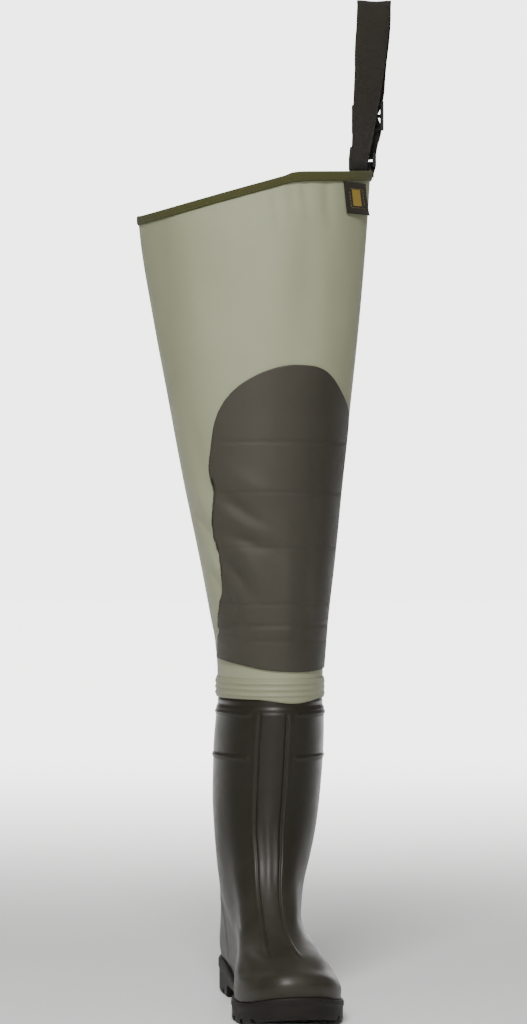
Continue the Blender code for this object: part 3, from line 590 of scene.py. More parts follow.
def heel_counter(forward, up):
    """The stiffener round the heel, which reaches further forward near the sole."""
    front = COUNTER_FRONT + COUNTER_SPREAD * ramp(COUNTER_FADES_UP[0], HEEL_FEATHER_UP, up)
    reach = ramp(front + EDGE_SOFTNESS, front - EDGE_SOFTNESS, forward)
    return COUNTER_RISE * reach * ramp(*COUNTER_FADES_UP, up)


def relief(point, turn):
    """How far the boot's moulded features stand out of its plain form at a point."""
    share = front_share(turn)
    forward, side, up = HEEL_CENTRE - point.y, point.x, point.z
    features = front_strip(share, turn < pi, forward, up) + collar_beads(share, up)
    return features + toe_cap(forward, side, up) + heel_counter(forward, up)


def neck_step(up):
    """How far the collar's neck is set in, with a second step under the tape for the leg to slip over."""
    seat = SEAT_STEP * ramp(SEAT_START, SEAT_START + NECK_SLOPE, up)
    return seat + NECK_STEP * ramp(NECK_START, NECK_START + NECK_SLOPE, up)


print("neck set in by", neck_step(COLLAR_TOP), "mm at the collar")

# %% [markdown]
# ## The boot's grid
# The rows climb from the feather to the collar. Columns crowd together near the front strip, where the
# steps are narrow; even columns would need three times as many. The inside is smooth, so it takes every
# fifth row only.

# %% Boot rows
BOOT_COLUMNS, FOOT_ROWS, SHAFT_ROWS, INNER_STEP = 216, 92, 104, 5
FOOT_LEVELS, TOP_LEVEL = 10.0, 14.0
LEVEL_STEP = 1e-4
SHAFT_START = 186.0
STRIP_COLUMNS = 0.36


def level_at(up):
    """The level of the shaft's ring that stands at a height, found by halving."""
    low, high = FOOT_LEVELS, TOP_LEVEL
    while high - low > LEVEL_STEP:
        middle = (low + high) / 2
        low, high = (middle, high) if BOOT_RINGS.read("front_up", middle) < up else (low, middle)
    return low


def boot_turn(share):
    """The turn of a column; about a third of the columns crowd round the front strip."""
    from_front = abs(2 * share - 1)
    near = PANEL_EDGE * min(1.0, from_front / STRIP_COLUMNS)
    far = (1 - PANEL_EDGE) * max(0.0, from_front - STRIP_COLUMNS) / (1 - STRIP_COLUMNS)
    return pi + pi * (near + far) * (1 if share >= 0.5 else -1)


turns = [boot_turn(c / BOOT_COLUMNS) for c in range(BOOT_COLUMNS + 1)]
levels = [FOOT_LEVELS * r / FOOT_ROWS for r in range(FOOT_ROWS)]
shaft_ups = [SHAFT_START + (COLLAR_TOP - SHAFT_START) * r / SHAFT_ROWS for r in range(SHAFT_ROWS + 1)]
levels += [level_at(up) for up in shaft_ups]
plain = [[boot_point(level, turn) for turn in turns] for level in levels]
plain_out = outward(plain)
steps = [[relief(p, t) - neck_step(p.z) for p, t in zip(row, turns)] for row in plain]
outer = set_out(plain, plain_out, steps)
inner = set_out(plain, plain_out, [[-WALL - neck_step(p.z) for p in row] for row in plain])
for wall in (outer, inner):
    for point in wall[0]:
        point.z = sole_top(HEEL_CENTRE - point.y) + GAP
    for point in wall[-1]:
        point.z = COLLAR_TOP
inner = inner[::INNER_STEP] + inner[-1:]
print("boot rows:", len(outer), "outside,", len(inner), "inside")

# %% [markdown]
# ## PVC for the boot
# Boot PVC is nearly black with an olive tinge. Straight from the mould it has a satin skin with a thin
# gloss on top, so highlights are broad but have a bright core. Roughness wanders a little and there is a
# fine grain of the mould. Towards the floor the colour turns paler and greyer; a height that fades into
# the colour does that without a painted map. Inside, the boot has a knitted lining that is dull and paler.

# %% PVC and lining
LOW_TINT_GONE, LOW_TINT_FULL = 190.0, 70.0
RUBBED_SHARE = 0.25
SATIN_SPREAD = 0.16
PVC_SHINE = 0.25
COAT_ROUGHNESS = 0.22


def moulded(name, colour, rubbed, roughness, coat, grain, low_tint=0.0):
    """Moulded plastic or rubber: satin skin, slow changes of gloss, fine grain, and a paler tint near the
    floor.
    """
    look, shader = new_look(name, colour, roughness)
    height = add(look, "SeparateXYZ", Vector=places(look)).outputs["Z"]
    # Towards the floor the colour turns paler and greyer
    grey = soft_step(look, height, LOW_TINT_GONE * MM, LOW_TINT_FULL * MM, RUBBED_SHARE, RUBBED_SHARE + low_tint)
    tinted(look, shader, colour, rubbed, math(look, "MULTIPLY", cloudy(look, 26.0, 4.0), grey))
    feed(shader, Roughness=wandering(look, roughness, SATIN_SPREAD, 60.0, 5.0))
    feed(shader, Specular_IOR_Level=PVC_SHINE, Coat_Weight=coat, Coat_Roughness=COAT_ROUGHNESS)
    raised(look, shader, (cloudy(look, 38.0, 2.0), 0.6, 0.25), (cloudy(look, grain, 2.0), 0.05, 0.35))
    return look


def knitted(name, colour, other):
    """A dull lining with a knit that shows as rows of small bumps."""
    look, shader = new_look(name, colour, 0.92)
    tinted(look, shader, colour, other, cloudy(look, 140.0))
    loops = add(look, "TexVoronoi", Vector=places(look), Scale=520.0).outputs["Distance"]
    raised(look, shader, (loops, 0.4, 0.5))
    return look


OLIVE_BLACK, PALE_OLIVE = (0.0145, 0.0128, 0.0080), (0.0400, 0.0360, 0.0265)
boot_pvc = moulded("boot_pvc", OLIVE_BLACK, PALE_OLIVE, 0.42, 0.035, 1500.0, low_tint=1.0)
lining = knitted("boot_lining", (0.10, 0.10, 0.085), (0.15, 0.15, 0.13))
print("looks:", boot_pvc.name, "and", lining.name)

# %% The boot
bm = shaped_grid(outer + inner[::-1] + outer[:1])
row_of = bm.verts.layers.int["row"]
for face in bm.faces:
    face.material_index = int(min(vert[row_of] for vert in face.verts) >= len(outer))
dress("boot_shell", bm, [boot_pvc, lining], "boot_upper")

# %% [markdown]
# ## The sole
# The sole is moulded on, with a ledge round its top, a heel block, an arch and a forefoot that curls up
# at the toe. Its side is a stack of rings; the rings at both ends close onto the middle line. The arch
# and the grooves between the lugs are cut out of it with a Boolean, as a milling cutter would cut the
# mould's core.

# %% Sole rings
SOLE_BANDS = Table(
    "share set_in",
    [(0.0, 2.4), (0.1, 1.0), (0.66, 0.8), (0.74, 0.0), (0.92, 0.0), (1.0, 1.2)],
)
SOLE_RING = BOOT_RINGS(0)
ARCH_BACK, ARCH_FRONT, ARCH_RISE, ARCH_SLOPE = 82.0, 126.0, 13.0, 5.0
LUG_DEPTH, LUG_GROOVE, LUG_SLOPE = 6.0, 6.5, 1.5
FORE_GROOVES = (150.0, 172.0, 194.0, 216.0, 240.0, 264.0)
HEEL_GROOVES = (20.0, 60.0)
GROOVE_REACH = 90.0
GROOVE_VEE = 22.0
BELOW_TREAD = 8.0
SOLE_COLUMNS = 168
SOLE_SHARES = (0, 0.03, 0.1, 0.3, 0.5, 0.66, 0.7, 0.74, 0.8, 0.86, 0.92, 0.96, 0.985, 1)


def feather_line(spread):
    """The feather's outline as (forward, side) places, spread outwards all round."""
    wide = dict(SOLE_RING)
    for column in ("rear_m", "rear_l", "mid_m", "mid_l", "fore_m", "fore_l"):
        wide[column] += spread
    back, front = wide["heel_at"] - spread, wide["front_at"] + spread
    line = []
    for c in range(SOLE_COLUMNS + 1):
        along, side = outline(wide, 2 * pi * c / SOLE_COLUMNS)
        line.append((back + (front - back) * along, side))
    return line


def sole_ring(share, side_share=1.0):
    """One ring of the sole from tread (0) to top (1); side_share 0 closes it onto the middle line."""
    ring = []
    for forward, side in feather_line(SOLE_LEDGE - SOLE_BANDS.read("set_in", share)):
        shape = SOLE_SIDE(forward)
        up = shape["tread"] + (shape["top"] - shape["tread"]) * share
        ring.append(row_point(forward, side * side_share, up))
    return ring


sole_rows = [sole_ring(0, 0.0)] + [sole_ring(share) for share in SOLE_SHARES] + [sole_ring(1, 0.0)]
print("sole rows:", len(sole_rows))

# %% Cutters
def groove(back, front, low, high, slope, vee=0.0):
    """A cutter across the sole, wider at its mouth and swept forward at its sides."""
    corners = ((back - slope, low), (front + slope, low), (front, high), (back, high), (back - slope, low))
    slices = []
    for side in (-1, 0, 1):
        slices.append([row_point(f + vee * abs(side), side * GROOVE_REACH, up) for f, up in corners])
    bm = shaped_grid(slices)
    bmesh.ops.holes_fill(bm, edges=[edge for edge in bm.edges if edge.is_boundary], sides=0)
    bmesh.ops.recalc_face_normals(bm, faces=bm.faces)
    return bm


def cut(piece, tools):
    """Takes cutters out of a piece for good, one after the other."""
    made = []
    for bm in tools:
        mesh = bpy.data.meshes.new("cutter")
        bm.to_mesh(mesh)
        bm.free()
        made.append(bpy.data.objects.new("cutter", mesh))
        bpy.context.scene.collection.objects.link(made[-1])
        step = piece.modifiers.new("cut", "BOOLEAN")
        step.operation = "DIFFERENCE"
        step.object = made[-1]
    done = bpy.data.meshes.new_from_object(piece.evaluated_get(bpy.context.evaluated_depsgraph_get()))
    piece.modifiers.clear()
    piece.data = done
    for tool in made:
        bpy.data.objects.remove(tool)
    return done


print("grooves to cut:", len(FORE_GROOVES) + len(HEEL_GROOVES), "and the arch")

# %% Sole, arch and lugs
SHARP_ANGLE = radians(32)
sole_pvc = moulded("sole_pvc", (0.0105, 0.0084, 0.0067), (0.018, 0.0150, 0.0125), 0.62, 0.0, 1100.0)
sole = dress("sole_rubber", shaped_grid(sole_rows), [sole_pvc], "outsole")
cutters = [groove(ARCH_BACK, ARCH_FRONT, -BELOW_TREAD, ARCH_RISE, ARCH_SLOPE)]
for middle in FORE_GROOVES + HEEL_GROOVES:
    tread = SOLE_SIDE.read("tread", middle)
    back, front = middle - LUG_GROOVE / 2, middle + LUG_GROOVE / 2
    vee = GROOVE_VEE if middle in FORE_GROOVES else 0.0
    cutters.append(groove(back, front, tread - BELOW_TREAD, tread + LUG_DEPTH, LUG_SLOPE, vee))
sole_mesh = cut(sole, cutters)
sole_mesh.shade_smooth()
sole_mesh.set_sharp_from_angle(angle=SHARP_ANGLE)
print("sole after cutting:", len(sole_mesh.polygons), "faces")

# %% [markdown]
# ## The foot bed
# The insole is a plain felt sheet that can hardly be seen, so its solid stays as it is. A new mesh would
# show no more. It only gets the dull finish of the lining, in the colour of felt.

# %% Felt foot bed
felt = knitted("felt", (0.15, 0.15, 0.135), (0.20, 0.195, 0.175))
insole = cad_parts["insole"]
insole.data.materials.clear()
insole.data.materials.append(felt)
print("foot bed:", len(insole.data.polygons), "faces of its solid")

# %% [markdown]
# ## The leg
# The leg is a tube of coated cloth, round at the boot and flattened into a lens at the thigh. Its hem is
# level on the outer side and slopes down to the inner one. Cloth that hangs from a strap falls in soft
# flutes below the hem, and it buckles a little where it narrows to the boot. A cloth simulation would
# drape it, but not with the folds where the photo has them. So each fold is one row of a table: where it
# is, how wide and long it is, how it leans and how deep it goes.

# %% Sections of the leg
LEG_WALL = 1.0
LEG_FOOT = 318.0
HEM_TOP = 864.0
HEM_INNER_DROP = 47.0
HEM_FRONT_DROP = 9.0
HEM_BACK_DROP = 6.0
HEM_BEND = 0.36
HEM_BEND_ROUND = 0.05
LEG_OVALS = Table(
    "up across front half_width half_depth pinch turn",
    [
        (300.0, 11.0, 0.0, 54.7, 70.7, 2.00, 0.0),
        (338.0, 11.0, 0.0, 54.7, 70.7, 2.00, 0.0),
        (372.0, 10.5, 2.0, 57.2, 70.7, 2.00, 0.1),
        (400.0, 9.0, 3.0, 61.2, 70.8, 2.00, 0.3),
        (458.0, 7.0, 5.0, 70.2, 71.2, 1.98, 0.7),
        (542.0, 3.2, 7.0, 83.5, 72.0, 1.94, 1.0),
        (626.0, 0.0, 7.0, 96.0, 72.5, 1.90, 1.0),
        (710.0, -3.5, 6.0, 108.2, 73.0, 1.86, 1.0),
        (794.0, -6.8, 5.0, 118.6, 73.0, 1.80, 1.0),
        (866.0, -7.6, 4.0, 124.0, 72.0, 1.74, 1.0),
    ],
)


@lru_cache(maxsize=None)
def leg_oval(up):
    """An oval of the leg's table, kept once it is read."""
    return LEG_OVALS(up)


def leg_place(across, front, up, turn=LEG_TURN):
    """A place from the shaft's axis along axes turned with the leg."""
    side = Vector((cos(turn), sin(turn), 0))
    ahead = Vector((sin(turn), -cos(turn), 0))
    return LEG_AXIS + side * across + ahead * front + Vector((0, 0, up))


def leg_point(up, angle):
    """A point of the leg's outer face; angle is 0 at the front and grows to the outer side."""
    oval = leg_oval(up)
    power = 2 / oval["pinch"]
    wide = abs(sin(angle)) ** power * (1 if sin(angle) >= 0 else -1)
    deep = abs(cos(angle)) ** power * (1 if cos(angle) >= 0 else -1)
    across = oval["across"] + oval["half_width"] * wide
    front = oval["front"] + oval["half_depth"] * deep
    return leg_place(across, front, up, LEG_TURN * oval["turn"])


def across_share(up, angle):
    """How far across the leg a point is, from -1 at its inner edge to 1 at its outer one."""
    return abs(sin(angle)) ** (2 / LEG_OVALS.read("pinch", up)) * (1 if sin(angle) >= 0 else -1)


def hem_up(angle):
    """Height of the leg's top edge: level on the outer side, then straight down to the inner side."""
    before_bend = HEM_BEND - across_share(HEM_TOP, angle)
    fall = (before_bend + hypot(before_bend, HEM_BEND_ROUND)) / 2 / (HEM_BEND + 1)
    sag = HEM_FRONT_DROP * max(0.0, cos(angle)) + HEM_BACK_DROP * max(0.0, -cos(angle))
    return HEM_TOP - HEM_INNER_DROP * fall - sag


print("hem from", round(hem_up(-pi / 2)), "to", round(hem_up(pi / 2)), "mm over the floor")

# %% Folds of the cloth
# across and up of the middle in millimetres, half width, half length, lean from upright in degrees, depth
FRONT_FOLDS = [
    (17, 822, 7, 28, -10, -1.5),
    (34, 832, 6, 22, -12, -1.4),
    (47, 834, 6, 28, -10, -1.8),
    (71, 830, 8, 38, -6, -2.2),
    (52, 760, 26, 100, 4, -2.6),
    (20, 730, 30, 120, 2, 2.0),
    (84, 720, 20, 90, 0, -2.0),
    (-95, 760, 22, 70, -8, -2.0),
    (-60, 700, 24, 90, -12, 1.4),
    (-66, 575, 10, 40, -14, -1.8),
    (-59, 520, 9, 32, -20, 3.0),
    (-61, 497, 5, 30, -36, -2.6),
    (-50, 462, 8, 30, -16, 2.0),
    (-46, 436, 5, 24, -24, -1.8),
    (-42, 384, 6, 36, 84, -2.2),
    (-40, 358, 8, 40, 88, 1.6),
    (-22, 512, 12, 40, -52, -4.4),
    (-4, 534, 14, 40, -58, 2.4),
    (-14, 478, 10, 46, -70, -3.4),
    (-10, 495, 10, 40, -64, 2.2),
    (-26, 446, 11, 38, -36, -4.2),
    (-8, 452, 12, 40, -30, 2.0),
    (-30, 412, 11, 36, -20, -3.4),
    (30, 420, 15, 95, 0, 2.4),
    (58, 470, 12, 120, 2, -2.4),
    (10, 600, 22, 50, 0, 1.2),
    (20, 386, 9, 60, 86, 1.0),
]
BACK_FOLDS = [
    (-40, 800, 9, 50, 6, -1.6),
    (10, 790, 12, 70, 0, -1.8),
    (60, 780, 10, 60, -4, -1.6),
    (-20, 640, 20, 110, 4, 1.8),
    (40, 620, 16, 100, -3, -1.8),
    (0, 505, 7, 44, 72, -2.6),
    (14, 480, 8, 40, 100, 2.0),
    (-10, 446, 7, 40, 78, -2.2),
    (20, 390, 6, 44, 86, -1.8),
]
FOLD_SHARPNESS = 2.2
CALM_EDGE, CALM_GONE = 2, 22
CALM_FOOT, FOLDS_FROM = 20, 40


def folds(point):
    """How far the cloth stands out of its plain form at a point, from the folds on its side of the leg."""
    place = point - LEG_AXIS
    across, front, up = place.dot(ACROSS), place.dot(FRONT), place.z
    side = ramp(CALM_EDGE, CALM_GONE, abs(front))
    nearby = FRONT_FOLDS if front > 0 else BACK_FOLDS
    total = 0.0
    for fold_across, fold_up, half_width, half_length, lean, depth in nearby:
        a, u = across - fold_across, up - fold_up
        if abs(a) + abs(u) > 2 * (half_length + half_width):
            continue
        along = a * sin(radians(lean)) + u * cos(radians(lean))
        beside = a * cos(radians(lean)) - u * sin(radians(lean))
        total += depth * exp(-FOLD_SHARPNESS * ((beside / half_width) ** 2 + (along / half_length) ** 2))
    return total * side * ramp(LEG_FOOT + CALM_FOOT, LEG_FOOT + FOLDS_FROM, up)


print("folds:", len(FRONT_FOLDS), "in front,", len(BACK_FOLDS), "behind")

# %% [markdown]
# ## Coated cloth
# The cloth is a nylon weave with a thin layer of PVC. It looks like one flat colour from a distance,
# with a satin sheen; close up, the weave shows through the coating. The weave here is two sets of fine
# waves, one along and one across the cloth's own map, so it follows the leg. Slow stains keep the colour
# alive. Painted shade deepens the tint where the cloth turns away to the sides, which makes the leg look
# round in flat light.

# %% Coated cloth
WAVE_PERIOD = 0.314
# How far across the painted side shade reaches, and how sharply it grows towards the sides
SIDE_REACH, SIDE_POWER = 108.0, 3.0
STAIN_SHARE = 0.7
CLOTH_SPREAD = 0.18


def cloth_map(look):
    """The piece's own map in metres of cloth."""
    return add(look, "UVMap", [("uv_map", "cloth")]).outputs["UV"]


def threads(look, direction, pitch):
    """Waves across the cloth's map in a direction, with a pitch in millimetres."""
    settings = [("bands_direction", direction), ("wave_profile", "SIN")]
    waves = add(look, "TexWave", settings, Vector=cloth_map(look), Scale=WAVE_PERIOD / (pitch * MM))
    return waves.outputs["Fac"]


def coated(name, colour, stain_and_side_shade, roughness, pitch, weave, shine=0.35, middle=0.0):
    """Cloth under a thin coating, with painted shade that darkens it to both sides of its middle."""
    look, shader = new_look(name, colour, roughness)
    # Painted shade: the tint darkens to both sides of the middle, where the cloth turns away from the light
    beside = reach_along(look, places(look), ACROSS / (SIDE_REACH * MM))
    offset = math(look, "SUBTRACT", beside, middle / SIDE_REACH)
    sides = math(look, "POWER", math(look, "ABSOLUTE", offset), SIDE_POWER)
    stains = math(look, "MULTIPLY", cloudy(look, 9.0, 5.0), STAIN_SHARE)
    tinted(look, shader, colour, stain_and_side_shade, math(look, "ADD", stains, sides))
    feed(shader, Roughness=wandering(look, roughness, CLOTH_SPREAD, 34.0, 4.0))
    feed(shader, Specular_IOR_Level=shine, Sheen_Weight=0.04, Sheen_Roughness=0.5)
    weaving = math(look, "MAXIMUM", threads(look, "X", pitch), threads(look, "Y", pitch))
    raised(look, shader, (cloudy(look, 55.0, 3.0), 0.5, 0.22), (weaving, 0.12, weave))
    return look


# The second colour of each cloth is both its stains and the painted shade towards its sides
SAGE, SAGE_SHADE = (0.318, 0.330, 0.218), (0.218, 0.223, 0.138)
leg_cloth = coated("leg_cloth", SAGE, SAGE_SHADE, 0.62, 0.9, 0.35, middle=6.0)
leg_inside = coated("leg_inside", (0.30, 0.30, 0.235), (0.26, 0.26, 0.20), 0.75, 0.9, 0.6)
print("looks:", leg_cloth.name, "and", leg_inside.name)

# %% The leg
LEG_COLUMNS, LEG_ROWS = 200, 190
angles = [2 * pi * c / LEG_COLUMNS for c in range(LEG_COLUMNS + 1)]


def leg_rows(count):
    """Plain rows of the leg from its foot to its hem."""
    rows = []
    for r in range(count + 1):
        share = r / count
        rows.append([leg_point(LEG_FOOT + (hem_up(a) - LEG_FOOT) * share, a) for a in angles])
    return rows


plain = leg_rows(LEG_ROWS)
bm = shaped_grid(set_out(plain, outward(plain), [[folds(p) for p in row] for row in plain]))
leg = dress("leg_cloth", bm, [leg_cloth, leg_inside], "leg")
thicken(leg, LEG_WALL, inner_look=1)

# %% [markdown]
# ## The tape over the weld
# A tape of the same coated cloth seals the joint of leg and boot. Its lower edge dips at the front. The
# welding press leaves three ribs round it, which are worn at the outer front. Its cross-section is one
# closed line, swept round the leg: the face from foot to top, then the back.

# %% Joint tape
TAPE_LOW, TAPE_HIGH = 314.5, 336.0
TAPE_DIP, TAPE_DIP_AT, TAPE_DIP_REACH = 4.0, radians(12), radians(42)
TAPE_THICKNESS = 1.3
TAPE_RIBS = (319.0, 325.0, 331.0)
TAPE_RIB_RISE = 1.0
TAPE_RIB_REACH = 2.5
TAPE_ROWS = 46
TAPE_EDGE, TAPE_EDGE_SHARE = 1.6, 0.35
RIB_WEAR, RIB_WEAR_AT, RIB_WEAR_REACH = 0.7, radians(58), radians(46)


def tape_low(angle):
    """Height of the tape's lower edge, which dips at the front."""
    from_dip = (angle - TAPE_DIP_AT + pi) % (2 * pi) - pi
    return TAPE_LOW - TAPE_DIP * bump(0.0, TAPE_DIP_REACH, from_dip)


def tape_rise(up, angle):
    """Height of the tape's face over the leg, with rounded edges and partly worn ribs."""
    ribs = max(bump(rib, TAPE_RIB_REACH, up) for rib in TAPE_RIBS)
    ribs *= 1 - RIB_WEAR * bump(RIB_WEAR_AT, RIB_WEAR_REACH, angle)
    edge = ramp(0, TAPE_EDGE, min(up - tape_low(angle), TAPE_HIGH - up))
    return GAP + TAPE_THICKNESS * (TAPE_EDGE_SHARE + (1 - TAPE_EDGE_SHARE) * edge) + TAPE_RIB_RISE * ribs


plain = []
for r in range(TAPE_ROWS + 1):
    plain.append([leg_point(tape_low(a) + (TAPE_HIGH - tape_low(a)) * r / TAPE_ROWS, a) for a in angles])
normals = outward(plain)
face = set_out(plain, normals, [[tape_rise(p.z, a) for p, a in zip(row, angles)] for row in plain])
back = set_out(plain, normals, [[GAP] * len(angles)] * len(plain))
# The tape's second colour is both its stains and its painted side shade
tape_cloth = coated("tape_cloth", (0.250, 0.258, 0.167), (0.206, 0.211, 0.132), 0.55, 0.9, 0.2)
dress("tape_ribs", shaped_grid(face + [back[-1], back[0], face[0]]), [tape_cloth], "joint_tape")

# %% [markdown]
# ## The knee patch
# A second layer of darker cloth is welded over knee and shin. Its top is arched, and its inner edge
# wanders where the cloth buckles. Folding it in a carton left sharp creases straight across. An outline
# could be cut out of the leg's mesh, but a grid of its own keeps clean edges. It follows the leg's
# folds, because it is laid on the same form.

# %% Patch outline
PATCH_MIDDLE = radians(28)
# Heights of the lower and the upper edge, for shares from -1 at the inner edge to 1 at the outer one
PATCH_LOW = Table(
    "share up",
    [(-1.0, 357.0), (-0.56, 349.4), (-0.33, 344.9), (-0.07, 343.2), (0.53, 344.7), (1.0, 347.5)],
)
PATCH_TOP = Table(
    "share up",
    [
        (-1.0, 556.0),
        (-0.99, 574.0),
        (-0.97, 590.0),
        (-0.93, 605.0),
        (-0.87, 617.0),
        (-0.78, 628.5),
        (-0.678, 637.5),
        (-0.54, 646.0),
        (-0.41, 652.0),
        (-0.25, 656.8),
        (-0.08, 659.0),
        (0.145, 658.3),
        (0.3, 655.5),
        (0.42, 651.0),
        (0.536, 644.0),
        (0.7, 631.5),
        (0.85, 620.0),
        (0.965, 609.0),
        (1.0, 600.0),
    ],
)
# Lengths of cloth from the patch's middle line to its inner and its outer edge
PATCH_SIDES = Table(
    "up inner outer",
    [
        (340.0, 122.0, 58.0),
        (357.0, 121.0, 59.0),
        (376.0, 116.0, 61.0),
        (390.0, 109.5, 62.5),
        (410.0, 100.0, 64.0),
        (446.0, 90.5, 66.0),
        (469.0, 93.0, 67.0),
        (489.0, 97.5, 68.0),
        (526.0, 92.5, 69.5),
        (554.0, 98.0, 71.0),
        (582.0, 96.5, 73.0),
        (660.0, 96.5, 75.0),
    ],
)
print("patch from", PATCH_LOW.read("up", 0), "to", PATCH_TOP.read("up", 0), "mm over the floor")

# %% Patch layout
ANGLE_STEP = radians(2)
CREASE_FADES = 0.75
GIRTH_START, GIRTH_STEPS, GIRTH_EVERY = -pi, 271, 4
# height of a crease, its half width and depth, all in millimetres
PATCH_CREASES = [
    (580, 2.6, 1.0),
    (528, 2.2, 0.9),
    (471, 2.2, 0.8),
    (413, 2.2, 0.9),
    (391, 3.0, 1.2),
    (375, 2.6, 0.7),
]


@lru_cache(maxsize=None)
def girth(up):
    """Running length round the leg at a height, one entry for each step of angle from -180 to 360 degrees."""
    points = [leg_point(up, GIRTH_START + ANGLE_STEP * k) for k in range(GIRTH_STEPS)]
    return [length / MM for length in lengths(points)]


def leg_angle_at(up, angle, reach):
    """The angle a length of cloth away from another one, to the outer side where reach is positive."""
    round_leg = girth(GIRTH_EVERY * round(up / GIRTH_EVERY))
    at = (angle - GIRTH_START) / ANGLE_STEP
    start = round_leg[int(at)] + (round_leg[int(at) + 1] - round_leg[int(at)]) * (at - int(at))
    k = max(0, min(len(round_leg) - 2, sum(length <= start + reach for length in round_leg) - 1))
    share = (start + reach - round_leg[k]) / (round_leg[k + 1] - round_leg[k])
    return GIRTH_START + ANGLE_STEP * (k + share)


@lru_cache(maxsize=None)
def patch_ends(share_across):
    """Heights of the patch's lower and upper edge, kept once they are read."""
    return PATCH_LOW.read("up", share_across), PATCH_TOP.read("up", share_across)


def patch_place(share_across, share_up):
    """(angle, height) of a point of the patch: -1 to 1 from its inner edge to its outer one, 0 to 1 up."""
    low, top = patch_ends(share_across)
    up = low + (top - low) * share_up
    reach = PATCH_SIDES.read("inner" if share_across < 0 else "outer", up)
    return leg_angle_at(up, PATCH_MIDDLE, reach * share_across), up


def patch_dent(up, share_across):
    """Depth of the creases across the patch, which fade at its sides."""
    fade = ramp(1.0, CREASE_FADES, abs(share_across))
    return sum(depth * bump(middle, width, up) for middle, width, depth in PATCH_CREASES) * fade


print("patch:", len(PATCH_CREASES), "creases")

# %% Patch
PATCH_THICKNESS = 1.2
PATCH_GAP, PATCH_BACK_GAP = 0.6, 0.1
CREASE_LEAVES = 0.2
PATCH_COLUMNS, PATCH_ROWS = 120, 170
LEG_NUDGE = 0.01


def leg_out(up, angle):
    """The outward direction of the leg's plain face."""
    along = leg_point(up, angle + LEG_NUDGE) - leg_point(up, angle - LEG_NUDGE)
    climb = leg_point(up + 1, angle) - leg_point(up - 1, angle)
    return along.cross(climb).normalized()


face = []
for r in range(PATCH_ROWS + 1):
    face.append([])
    for c in range(PATCH_COLUMNS + 1):
        even = 2 * c / PATCH_COLUMNS - 1
        across = (even + sin(pi / 2 * even)) / 2
        angle, up = patch_place(across, r / PATCH_ROWS)
        point, out = leg_point(up, angle), leg_out(up, angle)
        dent = min(PATCH_THICKNESS - CREASE_LEAVES, patch_dent(up, across))
        face[-1].append(point + out * (PATCH_GAP + PATCH_THICKNESS + folds(point) - dent))
# The patch's second colour is both its stains and its painted side shade
UMBER, UMBER_SHADE = (0.061, 0.0556, 0.0418), (0.031, 0.0275, 0.020)
patch_cloth = coated("patch_cloth", UMBER, UMBER_SHADE, 0.6, 1.1, 0.4, shine=0.22, middle=-16.0)
patch = dress("patch_cloth", shaped_grid(face), [patch_cloth], "knee_patch")
thicken(patch, PATCH_THICKNESS - PATCH_BACK_GAP)

# %% [markdown]
# ## The bound hem
# An olive tape is folded over the raw edge of the leg and sewn through. Where the strap is sewn in, the
# tape lies double, which shows as a small step. A bevelled curve could make the tape, but its section
# couldn't change along the way. Here the cross-section is a rounded hairpin, worked out anew at every
# step round the hem.

# %% Hem binding
BINDING_WIDTH = 7.8
BINDING_THICKNESS = 1.1
BINDING_GAP = 0.45
BINDING_LAP_RISE = 1.2
LAP_FROM, LAP_TO, LAP_STEP = radians(22), radians(112), radians(3.5)
EDGE_IN, EDGE_UP = 0.4, 0.6
CROWN_RISE, CROWN_AT, CROWN_TOP = 0.25, 0.55, 0.2
HAIRPIN_TURN = 6


def hairpin(angle):
    """Cross-section of the tape as (rise from the leg's face, height over its edge), round at the fold."""
    lapped = ramp(LAP_FROM - LAP_STEP, LAP_FROM, angle) * ramp(LAP_TO + LAP_STEP, LAP_TO, angle)
    lap = BINDING_LAP_RISE * lapped
    out = BINDING_GAP + BINDING_THICKNESS + lap / 2
    back = -LEG_WALL - BINDING_GAP - BINDING_THICKNESS
    top = BINDING_GAP + BINDING_THICKNESS + lap
    low, inside = -BINDING_WIDTH, -LEG_WALL - BINDING_GAP
    line = [(BINDING_GAP, low), (out - EDGE_IN, low), (out, low + EDGE_UP)]
    line += [(out + CROWN_RISE, low * CROWN_AT), (out, low * CROWN_TOP)]
    middle, half = (out + back) / 2, (out - back) / 2
    for k in range(HAIRPIN_TURN + 1):
        turn = pi * k / HAIRPIN_TURN
        line.append((middle + half * cos(turn), top - half + half * sin(turn)))
    line += [(back, low + EDGE_UP), (back + EDGE_IN, low), (inside, low)]
    line += [(inside, BINDING_GAP), (BINDING_GAP, BINDING_GAP), (BINDING_GAP, low)]
    return line


def binding_point(angle, rise, over):
    """A point of the hem's tape, which leans with the leg below the edge."""
    edge = hem_up(angle)
    out = leg_out(edge, angle)
    share = min(1.0, max(0.0, -over / BINDING_WIDTH))
    start = leg_point(edge, angle).lerp(leg_point(edge - BINDING_WIDTH, angle), share)
    return start + out * rise + Vector((0, 0, max(0.0, over)))


print("binding:", len(hairpin(0)) - 1, "points round its section")

# %% Woven tape
HEM_COLUMNS = 260
WORN_SHARE = 0.9
FINER_THREAD = 0.8


def woven(name, colour, worn, pitch, ribs):
    """Webbing or tape: ribs across it, fine threads along it, and fuzz on top."""
    look, shader = new_look(name, colour, 0.86)
    tinted(look, shader, colour, worn, math(look, "MULTIPLY", cloudy(look, 120.0, 5.0), WORN_SHARE))
    feed(shader, Specular_IOR_Level=0.25, Sheen_Weight=0.05, Sheen_Roughness=0.6)
    weft, warp = threads(look, "Y", pitch), threads(look, "X", pitch * FINER_THREAD)
    fuzz = cloudy(look, 2200.0, 2.0)
    raised(look, shader, (math(look, "MULTIPLY", weft, warp), 0.35, ribs), (fuzz, 0.1, 0.4))
    return look


hem_angles = [2 * pi * c / HEM_COLUMNS for c in range(HEM_COLUMNS + 1)]
hem_rows = [[binding_point(a, rise, over) for rise, over in hairpin(a)] for a in hem_angles]
binding_tape = woven("binding_tape", (0.056, 0.057, 0.016), (0.043, 0.043, 0.011), 1.1, 0.7)
dress("binding_tape", shaped_grid(hem_rows), [binding_tape], "hem_binding")

